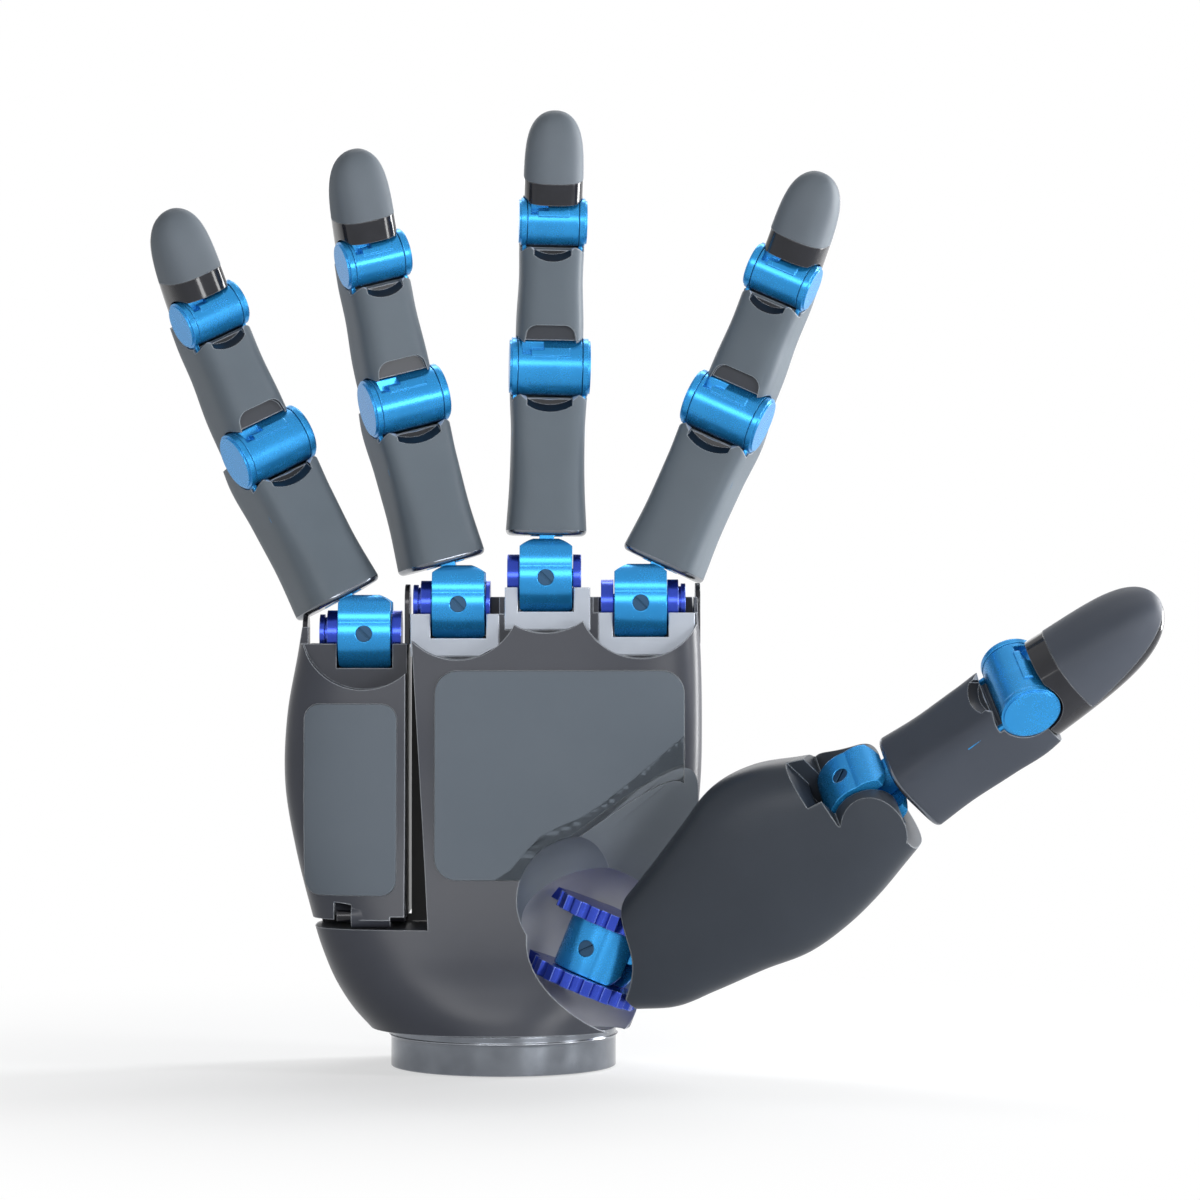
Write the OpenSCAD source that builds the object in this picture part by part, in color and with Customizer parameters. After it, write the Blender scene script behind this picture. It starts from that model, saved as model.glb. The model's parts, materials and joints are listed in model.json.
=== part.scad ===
// Dexterous robot hand: a right hand with four fingers, a thumb and a folding little metacarpal.
// +Z runs toward the fingertips, the palm faces -Y and the thumb points toward +X.
// The origin is the centre of the wrist flange's mounting face.

/* [Wrist] */
// Diameter of the round wrist flange
wrist_d = 50; // [47:1:54]
// Height of the wrist flange
wrist_h = 8.6; // [7:0.2:10]
// Pitch circle of the wrist's tapped holes
wrist_pitch_circle = 40; // [37:1:42]
// Tapping diameter of a wrist hole
wrist_hole_d = 5; // [4:0.5:6]
// Depth of a wrist hole
wrist_hole_depth = 7; // [5:0.5:7.5]
// Diameter of the centring recess
centring_d = 25; // [20:1:28]
// Depth of the centring recess
centring_depth = 3; // [2:0.5:4]
// Diameter of the dowel pin hole
dowel_d = 6; // [4:1:6]
// Diameter of the cable passage into the palm
cable_d = 9; // [7:0.5:9]

/* [Palm] */
// Thickness of a soft pad over its pocket
pad_proud = 0.5; // [0.2:0.1:1]
// Depth of a pad's pocket
pad_depth = 1.6; // [1.2:0.1:2.4]
// Corner radius of the palm pad
pad_corner_r = 5; // [3:0.5:7]
// Thickness of the palm's outer walls
palm_wall = 2.6; // [2:0.2:3]
// Depth from the palm's middle plane to the split with the back cover
cover_split_y = 10; // [9.6:0.1:10.5]
// Diameter of a palm drive motor
motor_d = 13; // [10:0.5:13]
// Length of a palm drive motor
motor_l = 25; // [20:0.5:25]

/* [Knuckles] */
// Radius of a knuckle's round yoke
yoke_r = 8; // [7.6:0.1:8.2]
// Width of a yoke
yoke_w = 11.6; // [11:0.2:12]
// Thickness of a yoke's cheek at the axle
yoke_cheek = 2.2; // [2:0.1:2.3]
// Half the depth of a yoke's slot
slot_half_depth = 3.9; // [3.7:0.1:4.2]
// Radius of the axle's journal in the yoke
journal_r = 2; // [1.7:0.1:2.1]
// Radius of the axle's collar beside the yoke
axle_r = 5.2; // [4.8:0.1:5.3]
// Radius of the axle's outer end
axle_end_r = 4.3; // [3.9:0.1:4.5]
// Radius of the pivot screw's shank
screw_r = 1.4; // [1.2:0.1:1.5]
// Radius of the pivot screw's head
screw_head_r = 1.8; // [1.7:0.1:2.2]
// Radius of the tongue's hub on the pivot screw
hub_r = 3.2; // [3:0.1:3.3]
// Width of the tongue's neck
neck_w = 3.2; // [2.8:0.1:3.3]

/* [Fingers] */
// Length from the knuckle to the first finger joint
proximal_l = 47; // [44:0.5:50]
// Length from the first to the second finger joint
middle_l = 32.3; // [31:0.5:35]
// Length from the second finger joint to the fingertip
distal_l = 24.8; // [24:0.2:28]
// Bend of each finger joint at rest
rest_bend = 10; // [4:1:15]
// Height of a finger shell's base above the knuckle axis
shell_base_z = 9.4; // [9.2:0.1:10]
// Radius of the large finger barrel
barrel_r = 6.35; // [6:0.05:6.5]
// Width of the large finger barrel
barrel_w = 17.9; // [17.4:0.1:18.2]
// Radius of the small finger barrel
small_barrel_r = 5.2; // [4.9:0.05:5.3]
// Width of the small finger barrel
small_barrel_w = 15; // [14.6:0.1:15.2]
// Thickness of a barrel's end cap
cap_w = 1.7; // [1.5:0.1:1.8]
// Radius of a trunnion that carries a finger joint
trunnion_r = 2.2; // [1.8:0.1:2.4]
// Width of a proximal shell at its base
proximal_w = 17.9; // [17.4:0.1:18.2]
// Depth of a proximal shell
proximal_depth = 20; // [19:0.5:20.5]
// Width of a middle shell
middle_w = 14.9; // [14.7:0.1:15.2]
// Distance from the joint axes forward to a shell's palmar face
palmar_offset = 4.9; // [4.6:0.1:5.2]

/* [Thumb] */
// Length of the thumb's metacarpal from its base joint to its knuckle
thumb_metacarpal_l = 69; // [67:0.5:71]
// Length from the thumb's knuckle to its finger joint
thumb_proximal_l = 42.4; // [40:0.2:45]
// Length from the thumb's finger joint to its tip
thumb_distal_l = 35; // [33:0.5:37]
// Radius of the fluted flanges at the thumb's base
flange_r = 12.2; // [11.4:0.1:12.2]
// Thickness of a fluted flange
flange_t = 3.4; // [3:0.1:3.4]
// Flutes round a flange
flange_flutes = 16; // [12:1:20]

/* [Clearances] */
// Radial clearance of a turning pin in its bore
running_fit = 0.03; // [0.02:0.01:0.06]
// Gap between pieces that are fixed to each other
seat_gap = 0.02; // [0.01:0.01:0.05]
// Gap between pieces that move past each other
moving_gap = 0.4; // [0.35:0.05:0.5]

/* [Hidden] */
$fn = 48;
// Fingers from the thumb side outward: name, knuckle x and z, splay from +Z, roll about its own length,
// and how far the knuckle block and its axle reach to the left and to the right.
FINGERS = [
    ["index", 30.5, 102.7, 24.5, -13, 9.3, 12],
    ["long", 9.5, 108.3, 0.9, 3, 9.1, 9.8],
    ["ring", -9.9, 102.4, -15.1, 18, 10.6, 9],
    ["little", -30.7, 95.8, -27.6, 25, 12.6, 8.6],
];
FINGER_PIECES = ["yoke", "pivot_screw", "proximal_frame", "proximal_shell", "middle_frame",
    "middle_shell", "distal_frame", "distal_shell", "tip_pad"];
PALM_PIECES = ["wrist_flange", "palm_shell", "palm_back_cover", "palm_pad", "knuckle_blocks",
    "knuckle_axles", "palm_drive_pack", "thumb_base_bracket", "little_hinge_pin"];
LITTLE_PIECES = ["little_metacarpal_shell", "little_metacarpal_pad", "little_knuckle_axle"];
THUMB_PIECES = ["thumb_base_yoke", "thumb_base_pivot", "thumb_metacarpal_frame",
    "thumb_metacarpal_shell", "thumb_knuckle_axle", "thumb_yoke", "thumb_pivot_screw",
    "thumb_proximal_frame", "thumb_proximal_shell", "thumb_distal_frame", "thumb_distal_shell",
    "thumb_tip_pad"];

METAL = "#3c4048";
DARK = "#1c1e24";
PAD = "#6b7078";
SATIN = "#8d949c";
BLUE = "#33a9e6";
ROYAL = "#2f3fae";

LARGE = 200;
little_finger = FINGERS[3];
palm_fingers = [FINGERS[0], FINGERS[1], FINGERS[2]];

// Thumb base: joint centre, tilt of its axle from +Z toward +X, and forward turn of its screw.
thumb_base = [20.9, -10, 26.1];
thumb_axle_tilt = 22;
thumb_screw_turn = 20;
thumb_tongue_lift = 11.5;
thumb_socket_r = 18.5;
thumb_clear_r = 16;
// Direction of the thumb's metacarpal: its rise above +X and its lean toward the palm side.
thumb_rise = 31.8;
thumb_lean = 15;
// Direction and roll of the thumb's phalanges.
thumb_phalanx_rise = 35;
thumb_roll = -52;
metacarpal_out = thumb_metacarpal_l * cos(thumb_lean);
thumb_knuckle = thumb_base + [metacarpal_out * cos(thumb_rise), -thumb_metacarpal_l * sin(thumb_lean),
    metacarpal_out * sin(thumb_rise)];

// Stations up the palm: height, left, right, front, back and squareness of the section.
PALM_STATIONS = [
    [wrist_h, -wrist_d / 2 - 4.5, wrist_d / 2 + 3.3, -wrist_d / 2 - 0.6, wrist_d / 2 + 0.6, 2.2],
    [wrist_h + 3.4, -wrist_d / 2 - 7.6, wrist_d / 2 + 4.6, -wrist_d / 2 - 0.2, wrist_d / 2 - 0.2, 2.3],
    [18, -36.6, 31.4, -23.6, 22.8, 2.6],
    [26, -40.1, 34.6, -20.9, 20.2, 3],
    [36, -43, 38.8, -18.2, 18.2, 3.5],
    [48, -46, 42, -15.9, 17, 4],
    [62, -48.4, 43.8, -14.5, 16.5, 4.2],
    [78, -48, 44.2, -13.8, 16.2, 4.2],
    [92, -45.6, 43.9, -13, 15.8, 4.2],
    [104, -43.7, 43.2, -12.4, 15.2, 4.2],
];
palm_sides = 36;

function signed_power(v, p) = sign(v) * pow(abs(v), p);

// One closed ring of points: a superellipse between its four sides at height z.
function ring(z, left, right, front, back, squareness, sides) = [for (i = [0 : sides - 1])
    let (a = 360 * (i + 0.5) / sides,
        u = signed_power(cos(a), 2 / squareness),
        v = signed_power(sin(a), 2 / squareness))
    [(left + right) / 2 + u * (right - left) / 2, (front + back) / 2 + v * (back - front) / 2, z]];

// A closed skin through a stack of rings that have equally many points.
module loft(rings) {
    count = len(rings[0]);
    last = len(rings) - 1;
    points = [for (r = rings) each r];
    sides = [for (j = [0 : last - 1]) for (i = [0 : count - 1])
        let (a = j * count + i, b = j * count + (i + 1) % count)
        each [[a, a + count, b + count], [a, b + count, b]]];
    bottom = [for (i = [0 : count - 1]) i];
    top = [for (i = [0 : count - 1]) last * count + count - 1 - i];
    polyhedron(points, concat([bottom], sides, [top]));
}

// A box with its lowest and highest corners given.
module span(low, high) {
    translate(low) cube(high - low);
}

// A cylinder along X between two places.
module rod_x(r, x0, x1) {
    translate([x0, 0, 0]) rotate([0, 90, 0]) cylinder(r = r, h = x1 - x0);
}

// A cylinder along Y between two places.
module rod_y(r, y0, y1) {
    translate([0, y0, 0]) rotate([-90, 0, 0]) cylinder(r = r, h = y1 - y0);
}

// An outline drawn in the X-Z plane, extruded along Y between two places.
module slab_y(y0, y1) {
    translate([0, y1, 0]) rotate([90, 0, 0]) linear_extrude(y1 - y0) children();
}

// An outline drawn in the Y-Z plane, extruded along X between two places.
module slab_x(x0, x1) {
    translate([x0, 0, 0]) rotate([90, 0, 90]) linear_extrude(x1 - x0) children();
}

module rounded_rect(low, high, r) {
    translate([low[0] + r, low[1]]) square([high[0] - low[0] - 2 * r, high[1] - low[1]]);
    translate([low[0], low[1] + r]) square([high[0] - low[0], high[1] - low[1] - 2 * r]);
    for (x = [low[0] + r, high[0] - r]) for (y = [low[1] + r, high[1] - r]) translate([x, y]) circle(r);
}

// ---- Palm ----

// The whole hand's outer form below the fingers, grown outward by a skin.
module hand_form(grow = 0) {
    loft([for (s = PALM_STATIONS)
        ring(s[0], s[1] - grow, s[2] + grow, s[3] - grow, s[4] + grow, s[5], palm_sides)]);
}

// The little metacarpal's side edge, its lower end, and the wedge gap beside it.
little_right = -21.3;
little_low = 33.2;
ledge_z = 31.2;
wedge_top = 1.4;
wedge_low = 5.2;

// The space that the little metacarpal and its gap take out of the palm.
module little_space() {
    top = PALM_STATIONS[len(PALM_STATIONS) - 1][0];
    slab_y(-LARGE / 2, LARGE / 2) polygon([[-LARGE, ledge_z], [little_right + wedge_low, ledge_z],
        [little_right + wedge_top, top - 10], [little_right + wedge_top, LARGE], [-LARGE, LARGE]]);
}

// Hinge of the little metacarpal: place of its axis, its barrel, and the ears at both ends.
hinge_y = -14.2;
hinge_z = 34;
hinge_r = 2.6;
hinge_pin_r = 1.3;
hinge_x0 = -33;
hinge_x1 = -24.4;
hinge_ear = 3;

module at_hinge() {
    translate([0, hinge_y, hinge_z]) children();
}

// A knuckle's place: the crossing of its axle and its pivot screw.
module at_knuckle(f) {
    translate([f[1], 0, f[2]]) children();
}

block_drop = 2.2;
block_h = 9.4;
block_front = -5.4;
block_back = 9;
scallop_r = 14;
scallop_drop = 12.3;
block_side = 0.5;
window_lip = 4;
cheek_front = -3.4;
cheek_top = 2.2;

// Opening for one knuckle in the palm's top: the block's seat and the scalloped front edge.
module knuckle_room(f) {
    at_knuckle(f) {
        span([-f[5] - seat_gap, block_front - seat_gap, -block_drop - block_h - seat_gap],
            [f[6] + seat_gap, block_back + seat_gap, LARGE]);
        translate([0, 0, scallop_r - scallop_drop]) rod_y(scallop_r, -40, block_front + seat_gap);
        span([-scallop_r, -40, scallop_r - scallop_drop], [scallop_r, block_front + seat_gap, LARGE]);
        span([-f[5] - 1.2, -40, -block_drop], [f[6] + 8, cheek_front, LARGE]);
        span([-f[5] - 1.2, -40, cheek_top], [f[6] + 8, LARGE, LARGE]);
    }
}

// Palm pad's outline: a rounded field whose lower right runs up round the thumb in an S-curve.
module palm_pad_outline(grow = 0) {
    low_z = 42;
    top_z = 87.7;
    left = -14.8;
    right = 40;
    difference() {
        rounded_rect([left - grow, low_z - grow], [right + grow, top_z + grow], pad_corner_r);
        translate([0, -grow]) polygon([[-2, 30], [-1.5, low_z], [2, 44.2], [5.6, 48.6], [8.6, 51.6], [12.5, 53.6],
            [17, 55.4], [21.5, 58.2], [28, 63.3], [45, 77.6], [60, 77.6], [60, 30]]);
    }
}

module pad_pocket(depth) {
    difference() {
        slab_y(-40, 0) children();
        hand_form(-depth);
    }
}

// Room for the thumb: the round socket at its base, the bowl above it and the long groove that its
// metacarpal lies in.
groove_r = 28;
groove_y = -31;
groove_rise = 39;
bowl_at = [-3.4, -7, 11.4];
bowl_r = 14.2;
module thumb_room() {
    translate(thumb_base) {
        sphere(thumb_socket_r, $fn = 72);
        translate([0, groove_y - thumb_base[1], 0]) rotate([0, 90 - groove_rise, 0])
            cylinder(r = groove_r, h = 60, $fn = 96);
        translate(bowl_at) sphere(bowl_r, $fn = 72);
    }
}

// Frame of the thumb's base joint: z along its axle, -y along its screw.
module at_thumb_base() {
    translate(thumb_base) rotate([0, thumb_axle_tilt, 0]) rotate([0, 0, -thumb_screw_turn]) children();
}

cavity_low = 61;
cavity_top = 88;
cavity_front = -7.2;
board_low = 45;
cable_x = -6;
cable_y = 5;
cover_edge_drop = 3.2;

module palm_cavity() {
    span([-12.5, cavity_front, cavity_low], [36, cover_split_y + palm_wall, cavity_top]);
    span([-12.5, 1, board_low], [30, cover_split_y + palm_wall, cavity_low + 1]);
}

module palm_top_trim() {
    for (f = palm_fingers) knuckle_room(f);
}

module wrist_flange() {
    color(DARK) difference() {
        union() {
            cylinder(d = wrist_d, h = wrist_h - seat_gap, $fn = 96);
            translate([0, 0, wrist_h - 2.2]) cylinder(d1 = wrist_d, d2 = wrist_d + 1, h = 0.6, $fn = 96);
        }
        translate([0, 0, -1]) cylinder(d = centring_d, h = centring_depth + 1, $fn = 72);
        for (i = [0 : 3]) rotate([0, 0, 45 + 90 * i]) translate([wrist_pitch_circle / 2, 0, -1])
            cylinder(d = wrist_hole_d, h = wrist_hole_depth + 1);
        translate([-wrist_pitch_circle / 2, 0, -1]) cylinder(d = dowel_d, h = centring_depth * 2 + 1);
        translate([cable_x, cable_y, -1]) cylinder(d = cable_d, h = wrist_h + 2);
    }
}

module palm_shell() {
    color(METAL) {
        difference() {
            hand_form();
            little_space();
            palm_top_trim();
            thumb_room();
            pad_pocket(pad_depth) palm_pad_outline(seat_gap);
            span([-LARGE, cover_split_y, ledge_z + 4], [LARGE, LARGE, LARGE]);
            palm_cavity();
            translate([cable_x, cable_y, 0]) cylinder(d = cable_d, h = board_low + 1);
            at_thumb_base() thumb_bracket_arms(seat_gap);
            at_hinge() rod_x(hinge_r + moving_gap, hinge_x0 - moving_gap, hinge_x1 + moving_gap);
        }
        hinge_ears();
    }
}

// Ears that rise from the palm's ledge and carry the little metacarpal's hinge pin.
module hinge_ears() {
    at_hinge() difference() {
        for (x = [hinge_x0 - moving_gap - hinge_ear, hinge_x1 + moving_gap]) {
            rod_x(hinge_r, x, x + hinge_ear);
            span([x, -hinge_r, ledge_z - hinge_z - 1], [x + hinge_ear, hinge_r, 0]);
        }
        rod_x(hinge_pin_r + seat_gap, -LARGE, LARGE);
    }
}

module little_hinge_pin() {
    color(DARK) at_hinge()
        rod_x(hinge_pin_r, hinge_x0 - moving_gap - hinge_ear + 0.2, hinge_x1 + moving_gap + hinge_ear - 0.2);
}

module palm_back_cover() {
    color(METAL) difference() {
        intersection() {
            hand_form();
            span([-LARGE, cover_split_y + seat_gap, ledge_z + 4 + seat_gap], [LARGE, LARGE, LARGE]);
        }
        little_space();
        for (f = palm_fingers) at_knuckle(f)
            span([-f[5] - 2, 0, -cover_edge_drop], [f[6] + 2, LARGE, LARGE]);
        palm_cavity();
    }
}

module palm_pad() {
    color(PAD) difference() {
        intersection() {
            hand_form(pad_proud);
            slab_y(-40, 0) palm_pad_outline(-seat_gap);
        }
        hand_form(-pad_depth + seat_gap);
        thumb_room();
    }
}

// Drive motors for the fingers and the board that controls them, in the palm's cavity.
module palm_drive_pack() {
    color(SATIN) {
        for (x = [-4.5, 11.5, 27.5]) translate([x, 1, cavity_low + 1]) {
            cylinder(d = motor_d, h = motor_l - 3);
            translate([0, 0, motor_l - 3.2]) cylinder(d = motor_d - 4, h = 3.2);
        }
        span([-8, 3, board_low + 1.5], [27, 4.6, cavity_low - 1.5]);
    }
}

// Grey block under one knuckle: two saddles for the axle and a round trough for the yoke.
module knuckle_block(f) {
    at_knuckle(f) difference() {
        span([-f[5], block_front, -block_drop - block_h], [f[6], block_back, -block_drop]);
        rod_x(yoke_r + moving_gap, -yoke_w / 2 - moving_gap, yoke_w / 2 + moving_gap);
        axle_room(LARGE);
        span([-yoke_w / 2 - moving_gap, -LARGE, -block_drop - block_h + window_lip],
            [yoke_w / 2 + moving_gap, 0, LARGE]);
    }
}

module knuckle_blocks() {
    color(SATIN) for (f = palm_fingers) knuckle_block(f);
}

collar_w = 2.4;
groove_w = 0.6;

// Two stub axles that carry a yoke: a journal in the yoke's cheek, a collar and, where there is room,
// a groove and a narrower end.
module stub_axles(left, right) {
    start = yoke_w / 2 + moving_gap / 2;
    for (side = [[-1, left], [1, right]]) mirror([side[0] < 0 ? 1 : 0, 0, 0]) {
        rod_x(journal_r, yoke_w / 2 - yoke_cheek + 0.1, start + 0.1);
        grooved = side[1] > start + collar_w + 2 * groove_w;
        rod_x(axle_r, start, grooved ? start + collar_w : side[1]);
        if (grooved) {
            rod_x(axle_end_r - groove_w, start + collar_w - 0.1, start + collar_w + groove_w + 0.1);
            rod_x(axle_end_r, start + collar_w + groove_w, side[1]);
        }
    }
}

// Room for a pair of stub axles: collars near the yoke and narrower ends out to a reach on both sides.
module axle_room(reach) {
    collar = yoke_w / 2 + moving_gap / 2 + collar_w + 2 * groove_w + seat_gap;
    rod_x(axle_r + seat_gap, -collar, collar);
    rod_x(axle_end_r + seat_gap, -reach, reach);
}

module knuckle_axles() {
    color(ROYAL) for (f = palm_fingers) at_knuckle(f) stub_axles(f[5] - block_side, f[6] - block_side * 4);
}

// ---- Little metacarpal ----

module little_knuckle_axle() {
    color(ROYAL) at_knuckle(little_finger) stub_axles(little_finger[5] - block_side * 5, little_finger[6] - block_side);
}

module little_pad_outline(grow = 0) {
    rounded_rect([-43.6 - grow, 38.6 - grow], [-23.2 + grow, 80.4 + grow], 3.4);
}

module little_metacarpal_shell() {
    color(METAL) {
        difference() {
            intersection() {
                hand_form();
                span([-LARGE, -LARGE, little_low], [little_right, LARGE, LARGE]);
            }
            at_knuckle(little_finger) {
                block_top = -block_drop - block_h;
                translate([0, 0, scallop_r - scallop_drop]) rod_y(scallop_r, -40, block_front);
                span([-scallop_r, -40, scallop_r - scallop_drop], [scallop_r, block_front, LARGE]);
                span([-little_finger[5], block_front - 0.1, block_top], [LARGE, block_back, LARGE]);
                span([-LARGE, 1, -cover_edge_drop], [LARGE, LARGE, LARGE]);
                span([-LARGE, -LARGE, -block_drop], [LARGE, cheek_front, LARGE]);
                span([-LARGE, -LARGE, cheek_top - 0.7], [LARGE, LARGE, LARGE]);
            }
            pad_pocket(pad_depth) little_pad_outline(seat_gap);
            at_hinge() {
                for (x = [hinge_x0 - moving_gap - hinge_ear, hinge_x1 + moving_gap]) {
                    rod_x(hinge_r + moving_gap, x - moving_gap, x + hinge_ear + moving_gap);
                    span([x - moving_gap, -hinge_r - 12, -10], [x + hinge_ear + moving_gap, 8, 0]);
                }
                rod_x(hinge_pin_r + running_fit, -LARGE, LARGE);
            }
        }
        knuckle_block_little();
        at_hinge() difference() {
            rod_x(hinge_r, hinge_x0, hinge_x1);
            rod_x(hinge_pin_r + running_fit, -LARGE, LARGE);
        }
    }
}

// The little knuckle's block is one with its metacarpal shell.
module knuckle_block_little() {
    f = little_finger;
    at_knuckle(f) difference() {
        span([-f[5], block_front, -block_drop - block_h - 0.5],
            [little_right - f[1], block_back, -block_drop]);
        rod_x(yoke_r + moving_gap, -yoke_w / 2 - moving_gap, yoke_w / 2 + moving_gap);
        axle_room(LARGE);
        span([-yoke_w / 2 - moving_gap, -LARGE, -block_drop - block_h + window_lip],
            [yoke_w / 2 + moving_gap, 0, LARGE]);
    }
}

module little_metacarpal_pad() {
    color(PAD) difference() {
        intersection() {
            hand_form(pad_proud);
            slab_y(-40, 0) little_pad_outline(-seat_gap);
        }
        hand_form(-pad_depth + seat_gap);
    }
}

// ---- Knuckle mechanism, in its own frame: axle along X, screw along Y, finger toward +Z ----

// A yoke's crown rises above its drum to just below the finger's base.
crown_gap = 0.3;
crown_r = shell_base_z - crown_gap;
crown_side_r = 6;
crown_spread = 1.6;
crown_reach = norm([crown_spread, crown_r - crown_side_r]) + crown_side_r;

// Yoke: a crowned drum on the axle with a flared slot for the tongue and a bore for the pivot screw.
module yoke() {
    half = yoke_w / 2;
    slot = half - yoke_cheek;
    color(BLUE) difference() {
        intersection() {
            slab_x(-half, half) union() {
                circle(yoke_r);
                for (y = [-crown_spread, crown_spread]) translate([y, crown_r - crown_side_r]) circle(crown_side_r);
                translate([-crown_spread, 0]) square([2 * crown_spread, crown_r]);
            }
            rod_y(crown_r, -LARGE, LARGE);
        }
        slab_y(-slot_half_depth, slot_half_depth) polygon([[-slot, -hub_r - 1], [slot, -hub_r - 1],
            [slot, 1.4], [half - 0.7, 4.4], [half + 1, 4.4], [half + 1, LARGE], [-half - 1, LARGE],
            [-half - 1, 4.4], [-half + 0.7, 4.4], [-slot, 1.4]]);
        rod_y(screw_r + seat_gap, -LARGE, LARGE);
        rod_y(screw_head_r + seat_gap, -LARGE, -yoke_r + 1.6);
        rod_x(journal_r + running_fit, -LARGE, LARGE);
    }
}

// Pivot screw: a slotted head in the yoke's front and a plain shank through the tongue.
module pivot_screw() {
    color(DARK) difference() {
        union() {
            rod_y(screw_r, -yoke_r + 0.7, yoke_r - 0.3);
            rod_y(screw_head_r, -yoke_r + 0.25, -yoke_r + 1.6);
        }
        rotate([0, 45, 0]) span([-LARGE, -yoke_r - 1, -0.25], [LARGE, -yoke_r + 0.8, 0.25]);
    }
}

// Tongue: the hub on the pivot screw and the neck that carries a finger's frame.
module tongue(length) {
    depth = slot_half_depth - moving_gap;
    difference() {
        union() {
            rod_y(hub_r, -depth, depth);
            span([-neck_w / 2, -depth, 0], [neck_w / 2, depth, length]);
        }
        rod_y(screw_r + running_fit, -LARGE, LARGE);
    }
}

// ---- Finger joint, in its own frame: axis along X, finger toward +Z, palm side -Y ----

// Two end caps with trunnions, and the arms that carry them down to a crossbar.
module joint_caps(r, w, reach, arm_front, arm_back) {
    inner = w / 2 - cap_w;
    for (side = [0, 1]) mirror([side, 0, 0]) {
        rod_x(r + 0.1, inner, w / 2 - 0.45);
        rod_x(r - 0.4, inner, w / 2);
        rod_x(trunnion_r, inner - 4, inner + 0.1);
        span([inner, arm_front, -reach], [inner + arm_t, arm_back, 0]);
    }
    span([-inner - arm_t, arm_front, -reach - 2.6], [inner + arm_t, arm_back, -reach]);
}

// Room that the arms and crossbar take inside a shell's forked end.
module joint_caps_room(w, reach, arm_front, arm_back) {
    inner = w / 2 - cap_w;
    outer = inner + arm_t + seat_gap;
    for (side = [0, 1]) mirror([side, 0, 0])
        span([inner - seat_gap, arm_front - seat_gap, -reach], [outer, arm_back + seat_gap, 0]);
    span([-outer, arm_front - seat_gap, -reach - 2.6 - seat_gap], [outer, arm_back + seat_gap, -reach + seat_gap]);
}

// Sleeve between the end caps: a hub on the trunnions with a stepped notch and a key on its palm side.
module joint_sleeve(r, w) {
    inner = w / 2 - cap_w - 0.15;
    difference() {
        union() {
            rod_x(r, -inner, inner);
            intersection() {
                rod_x(r + 0.3, -inner * 0.6, inner * 0.6);
                rotate([-38, 0, 0]) span([-w, -r - 1, -1.1], [w, 0, 1.1]);
            }
        }
        rod_x(trunnion_r + running_fit, -inner - 1, -inner + 4.2);
        rod_x(trunnion_r + running_fit, inner - 4.2, inner + 1);
        span([-inner * 0.88, -LARGE, r * 0.53], [-inner * 0.6, -r * 0.4, LARGE]);
        span([-inner * 0.61, -LARGE, r * 0.68], [-inner * 0.2, -r * 0.4, LARGE]);
    }
}

arm_t = 0.8;
arm_front = -1;
arm_back = 5;
arm_reach = 13;
small_arm_reach = 10.5;
spine_w = 7;
spine_back = 6;

module finger_spine(z0, z1, grow = 0) {
    span([-spine_w / 2 - grow, arm_front - grow, z0 - grow], [spine_w / 2 + grow, spine_back + grow, z1]);
}

module proximal_frame(length) {
    color(BLUE) {
        tongue(shell_base_z + 1);
        finger_spine(shell_base_z - 0.2, length - arm_reach - 1);
        translate([0, 0, length]) joint_caps(barrel_r, barrel_w, arm_reach, arm_front, arm_back);
    }
}

shell_sides = 24;

// Proximal shell: a waisted casing, scooped on the palm side round the finger joint's barrel.
module proximal_shell(length) {
    back = proximal_depth - palmar_offset;
    top = length + 0.25;
    half = proximal_w / 2;
    base = shell_base_z;
    waist = base + (top - base) * 0.62;
    color(PAD) difference() {
        loft([
            ring(base, -half + 1.1, half - 1.1, -palmar_offset + 1, back - 1, 3.6, shell_sides),
            ring(base + 1.1, -half, half, -palmar_offset, back, 4, shell_sides),
            ring(base + (waist - base) * 0.5, -half + 0.6, half - 0.6, -palmar_offset + 0.1, back - 0.3, 4,
                shell_sides),
            ring(waist, -half + 0.8, half - 0.8, -palmar_offset + 0.2, back - 0.7, 4, shell_sides),
            ring(top - 3, -half + 0.5, half - 0.5, -palmar_offset, back - 0.8, 4, shell_sides),
            ring(top, -half + 0.8, half - 0.8, -palmar_offset + 0.3, back - 1.2, 4, shell_sides),
        ]);
        translate([0, 0, length]) {
            rod_x(barrel_r + moving_gap + 0.2, -LARGE, LARGE);
            joint_scoop(barrel_r);
            joint_caps_room(barrel_w, arm_reach, arm_front, arm_back);
        }
        finger_spine(base, length - arm_reach, seat_gap);
        span([-neck_w / 2 - seat_gap, -slot_half_depth, base - 1],
            [neck_w / 2 + seat_gap, slot_half_depth, base + 1.2]);
    }
}

// Scoop on a shell's palm side: room for the next phalanx to fold in, a crescent that slopes up to
// the barrel, and a dark slot under the middle of the crescent.
scoop_clear = 1.5;
slot_drop = 1.1;
slot_depth = 2.4;

module crescent(r) {
    translate([0, -palmar_offset, 1.48 * r]) rotate([45, 0, 0]) rod_y(2.08 * r, -LARGE, LARGE);
}

module joint_scoop(r) {
    slab_x(-LARGE, LARGE) difference() {
        circle(r + scoop_clear);
        translate([0, -LARGE]) square([LARGE, 2 * LARGE]);
    }
    span([-LARGE, -LARGE, 0], [LARGE, 0, LARGE]);
    crescent(r);
    intersection() {
        translate([0, 0, -slot_drop]) crescent(r);
        span([-0.45 * r, -LARGE, -3 * r], [0.45 * r, slot_depth - palmar_offset, 0]);
    }
}

module middle_frame(length) {
    color(BLUE) {
        joint_sleeve(barrel_r, barrel_w);
        finger_spine(barrel_r - 1, length - small_arm_reach - 1);
        translate([0, 0, length])
            joint_caps(small_barrel_r, small_barrel_w, small_arm_reach, arm_front, arm_back);
    }
}

arch_floor = -2.8;

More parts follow.
